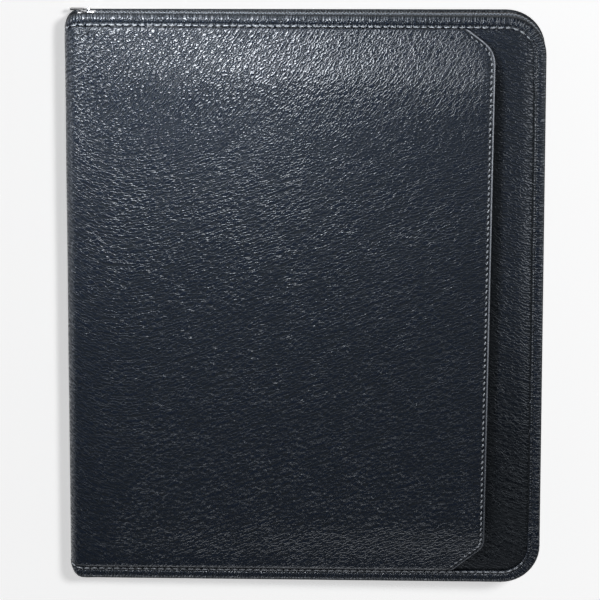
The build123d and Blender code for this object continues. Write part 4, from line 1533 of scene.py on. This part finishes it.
def makeCardPockets(sewn, tail, level):
    # three overlapping pockets, each shorter than the one behind it
    c = cardPockets
    near = c["left"]
    far = near + c["wide"]
    for i, name in enumerate(("card_pocket_rear", "card_pocket_middle", "card_pocket_front")):
        head = tail + c["long"] - i * c["step"]
        makeFrontPatch(name + "_leather", (near, far, tail, head), level, pocketLayer, pocketLeather, (name,),
                       None, c["hem"], 0.06, 3.0)
        level -= pocketLayer
        seamStitches(sewn, wrapFront, [(near + 2.2, head - 4.5), (far - 2.2, head - 4.5)], level + 0.04)
    seam = c["seam"]
    top = tail + c["seamLong"]
    sides = [(near + seam, top), (near + seam, tail + seam), (far - seam, tail + seam), (far - seam, top)]
    seamStitches(sewn, wrapFront, sides, level + 0.1)


windowPocket = {
    "rise": 14.0,
    "long": 70.0,
    "frame": 8.0,
    "seam": 1.7,
    "level": -5.6,
    "vinylLevel": -4.82,
    "vinylThick": 0.26,
}


def makeWindowPocket(sewn, low):
    # a clear sheet under a leather frame
    w = windowPocket
    near = cardPockets["left"]
    far = near + cardPockets["wide"]
    high = low + w["long"]
    sheet = makeFrontPatch("window_vinyl", (near + 1, far - 1, low + 1, high - 1), w["vinylLevel"],
                           w["vinylThick"], vinyl, ("window_pocket_sheet",), None, 0.0, 0.04,
                           6.0)
    sheet.visible_shadow = False  # clear, so the cloth behind it stays lit
    bm = bmesh.new()
    skin = bm.verts.layers.float_vector.new("skin")
    bmesh.ops.create_grid(bm, x_segments=1, y_segments=1, size=0.5)
    bmesh.ops.scale(bm, vec=(far - near, w["long"], 1), verts=bm.verts)
    bmesh.ops.inset_region(bm, faces=bm.faces[:], thickness=w["frame"], use_even_offset=True,
                           use_boundary=True)
    middle = min(bm.faces, key=lambda f: f.calc_center_median().length)
    bmesh.ops.delete(bm, geom=[middle], context="FACES")
    bmesh.ops.subdivide_edges(bm, edges=bm.edges[:], cuts=10, use_grid_fill=True)
    made = bmesh.ops.extrude_face_region(bm, geom=bm.faces[:])["geom"]
    bmesh.ops.translate(bm, vec=(0, 0, pocketLayer), verts=vertsOf(made))
    bevelEdges(bm, [e for e in bm.edges if e.calc_face_angle(0) > 1.0], 0.2, 2)
    for v in bm.verts:
        u = v.co.x + (near + far) / 2
        y = v.co.y + (low + high) / 2
        v[skin] = (u, y, 0)
        v.co = wrapFront(u, y, w["level"] + v.co.z)
    addPiece("window_pocket_leather", bm, pocketLeather, "front_cover", ("window_pocket_frame",),
             sharp=60)
    for gap in (w["seam"], w["frame"] - w["seam"]):
        ring = [(near + gap, low + gap), (far - gap, low + gap), (far - gap, high - gap),
                (near + gap, high - gap), (near + gap, low + gap)]
        seamStitches(sewn, wrapFront, ring, w["level"] - 0.02)


def makeFrontPockets():
    tail = documentPocket["margin"] - halfHeight
    head = tail + documentPocket["long"]
    sewn = bmesh.new()
    level = makeDocumentPocket(sewn, tail, head)
    makeCardPockets(sewn, tail + cardPockets["tail"], level)
    makeWindowPocket(sewn, head + windowPocket["rise"])
    addPiece("front_pocket_stitches", sewn, thread, "front_cover")


makeFrontPockets()


padPocket = {
    "long": 128.0,
    "seam": 2.5,  # how far it passes the pad
    "edgeRise": 3.15,  # where it is sewn down
    "rise": 3.92,  # and over the card
    "leather": 0.66,
    "stitchIn": 0.9,
    "stitchLevel": -4.02,
}


def makePadPocket():
    # takes the pad's card: its edges turn down to the lining on three sides
    p = padPocket
    low = padLow.x - left - p["seam"]
    high = padHigh.x - left + p["seam"]
    tail = padLow.y - p["seam"]
    head = tail + p["long"]
    bm = bmesh.new()
    skin = bm.verts.layers.float_vector.new("skin")
    verts, sewnSide = addDoubleGrid(bm, 110, 64)
    for v in verts:
        y = lerp(tail, head, v.co.y + 0.5)
        right = min(high, rightEdge(y, case["fieldInset"]))
        u = lerp(low, right, v.co.x + 0.5)
        rim = min(u - low, right - u, y - tail)
        rise = lerp(p["edgeRise"], p["rise"], smooth(0.3, 2.2, rim))
        if v not in sewnSide:
            rise += p["leather"] * smooth(-0.6, 1.0, rim)
        v[skin] = (u, y + 30, 0)
        v.co = wrapBack(u, y, -rise)
    addPiece("pad_pocket_leather", bm, pocketLeather, "back_cover", ("pad_pocket",),
             sharp=60)
    sewn = bmesh.new()
    seam = p["stitchIn"]
    corner = [(low + seam, head - 1), (low + seam, tail + seam), (high - 14, tail + seam)]
    seamStitches(sewn, wrapBack, corner, p["stitchLevel"])
    seamStitches(sewn, wrapBack, [(high - seam, tail + 18), (high - seam, head - 1)], p["stitchLevel"])
    addPiece("pad_pocket_stitches", sewn, thread, "back_cover")


def makePad():
    # quires that have slipped a little, the top ones curling at their free corner
    w = writingPad
    bm = bmesh.new()
    last = w["quires"] - 1
    tall = (padHigh.z - padLow.z) / w["quires"]
    lowest, highestX, highestY = w["slip"]
    for i in range(w["quires"]):
        slip = Vector()
        if i < last:
            slip = Vector((random.uniform(lowest, highestX), random.uniform(lowest, highestY), 0))
        verts, top = addDoubleGrid(bm, 36, 48)
        for v in verts:
            x = lerp(padLow.x + w["trim"], padHigh.x - highestX, v.co.x + 0.5)
            y = lerp(padLow.y + w["trim"], padHigh.y, v.co.y + 0.5)
            z = padLow.z + tall * (i + (1 if v in top else 0))
            curl = smooth(150, 212, x - padLow.x) * smooth(120, 0, y - padLow.y)
            z += w["curl"] * curl * (i / w["quires"]) ** 4
            v.co = Vector((x, y, z)) + slip
    return addPiece("writing_pad", bm, paper, "back_cover", ("pad_paper_block",), sharp=40)


makePadPocket()
pad = makePad()
# the pad is lit by the far softbox, and shaded from the nearest one, which would be too bright there
softboxes["floor softbox"].light_linking.receiver_collection.objects.link(pad)
shaded = softboxes["head softbox"].light_linking.receiver_collection
shaded.objects.link(pad)
for item in shaded.collection_objects:
    item.light_linking.link_state = "EXCLUDE"


penLoop = {"elastic": 0.75, "waist": 0.035, "steps": 16}


def makePenLoop():
    # a flattened tube of elastic, a little drawn in at its middle
    low, high = (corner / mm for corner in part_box("pen_loop"))
    centre = (low + high) / 2
    long = high.y - low.y
    reach = (high.z - low.z) / 2
    shift = (high.x - low.x) / 2 - reach
    bm = bmesh.new()
    skin = bm.verts.layers.float_vector.new("skin")
    upright = Matrix.Rotation(math.pi / 2, 4, "X")
    bmesh.ops.create_circle(bm, cap_ends=False, segments=40, radius=reach, matrix=upright)
    for v in bm.verts:
        v.co.x += math.copysign(shift, v.co.x) if abs(v.co.x) > 0.05 else 0.0
    steps = penLoop["steps"]
    bmesh.ops.spin(bm, geom=bm.verts[:] + bm.edges[:], cent=(0, 0, 0), axis=(0, 1, 0), angle=0.0,
                   dvec=(0, long / steps, 0), steps=steps)
    for v in bm.verts:
        x, y, z = v.co
        v[skin] = (x + 3 * z, y, 0)
        waist = 1 - penLoop["waist"] * math.sin(math.pi * y / long)
        v.co = (centre.x + x * waist, low.y + y, low.z + (z + reach) * waist)
    bmesh.ops.recalc_face_normals(bm, faces=bm.faces)
    bmesh.ops.solidify(bm, geom=bm.faces[:], thickness=penLoop["elastic"])
    addPiece("pen_loop_elastic", bm, elasticWeb, "back_cover", ("pen_loop",), sharp=50)


makePenLoop()


slipCloth = {
    "hem": 5.0,  # it ends this far inside the pocket's free edge
    "thick": 0.3,
    "rows": 90,
    "seamIn": 0.6,
    "under": 1.12,  # how far it lies under the pocket's face
    "lowest": -2.35,  # and where it rests on the padded face
}


def makeSlipLining():
    # cloth behind the slip pocket's leather, hemmed short of its free edge
    c = slipCloth
    seam = pocketPanel["seam"] - c["seamIn"]
    rows = rowsTo(seam, c["rows"])
    begin = frontFold + 2
    columns, across = outAndBack(begin, begin, 0, lambda y: mouthEdge(y) - c["hem"], 69, 70, c["thick"])

    def pointAt(i, j):
        u, depth = across(i, rows[j])
        lift = panelLift(u, rows[j]) + panelWrinkle(u, rows[j])
        return wrapFront(u, rows[j], max(lift - c["under"] - depth, c["lowest"] - depth * 0.2))

    def skinAt(i, j):
        return (across(i, rows[j])[0], rows[j], 0)

    bm = ribbonGrid(columns, c["rows"], pointAt, skinAt)
    obj = addPiece("slip_pocket_cloth", bm, liningTwill, "front_cover", ("slip_pocket_lining",))


makeSlipLining()
print("inside fitted")

bpy.data.meshes.remove(stitchShape)
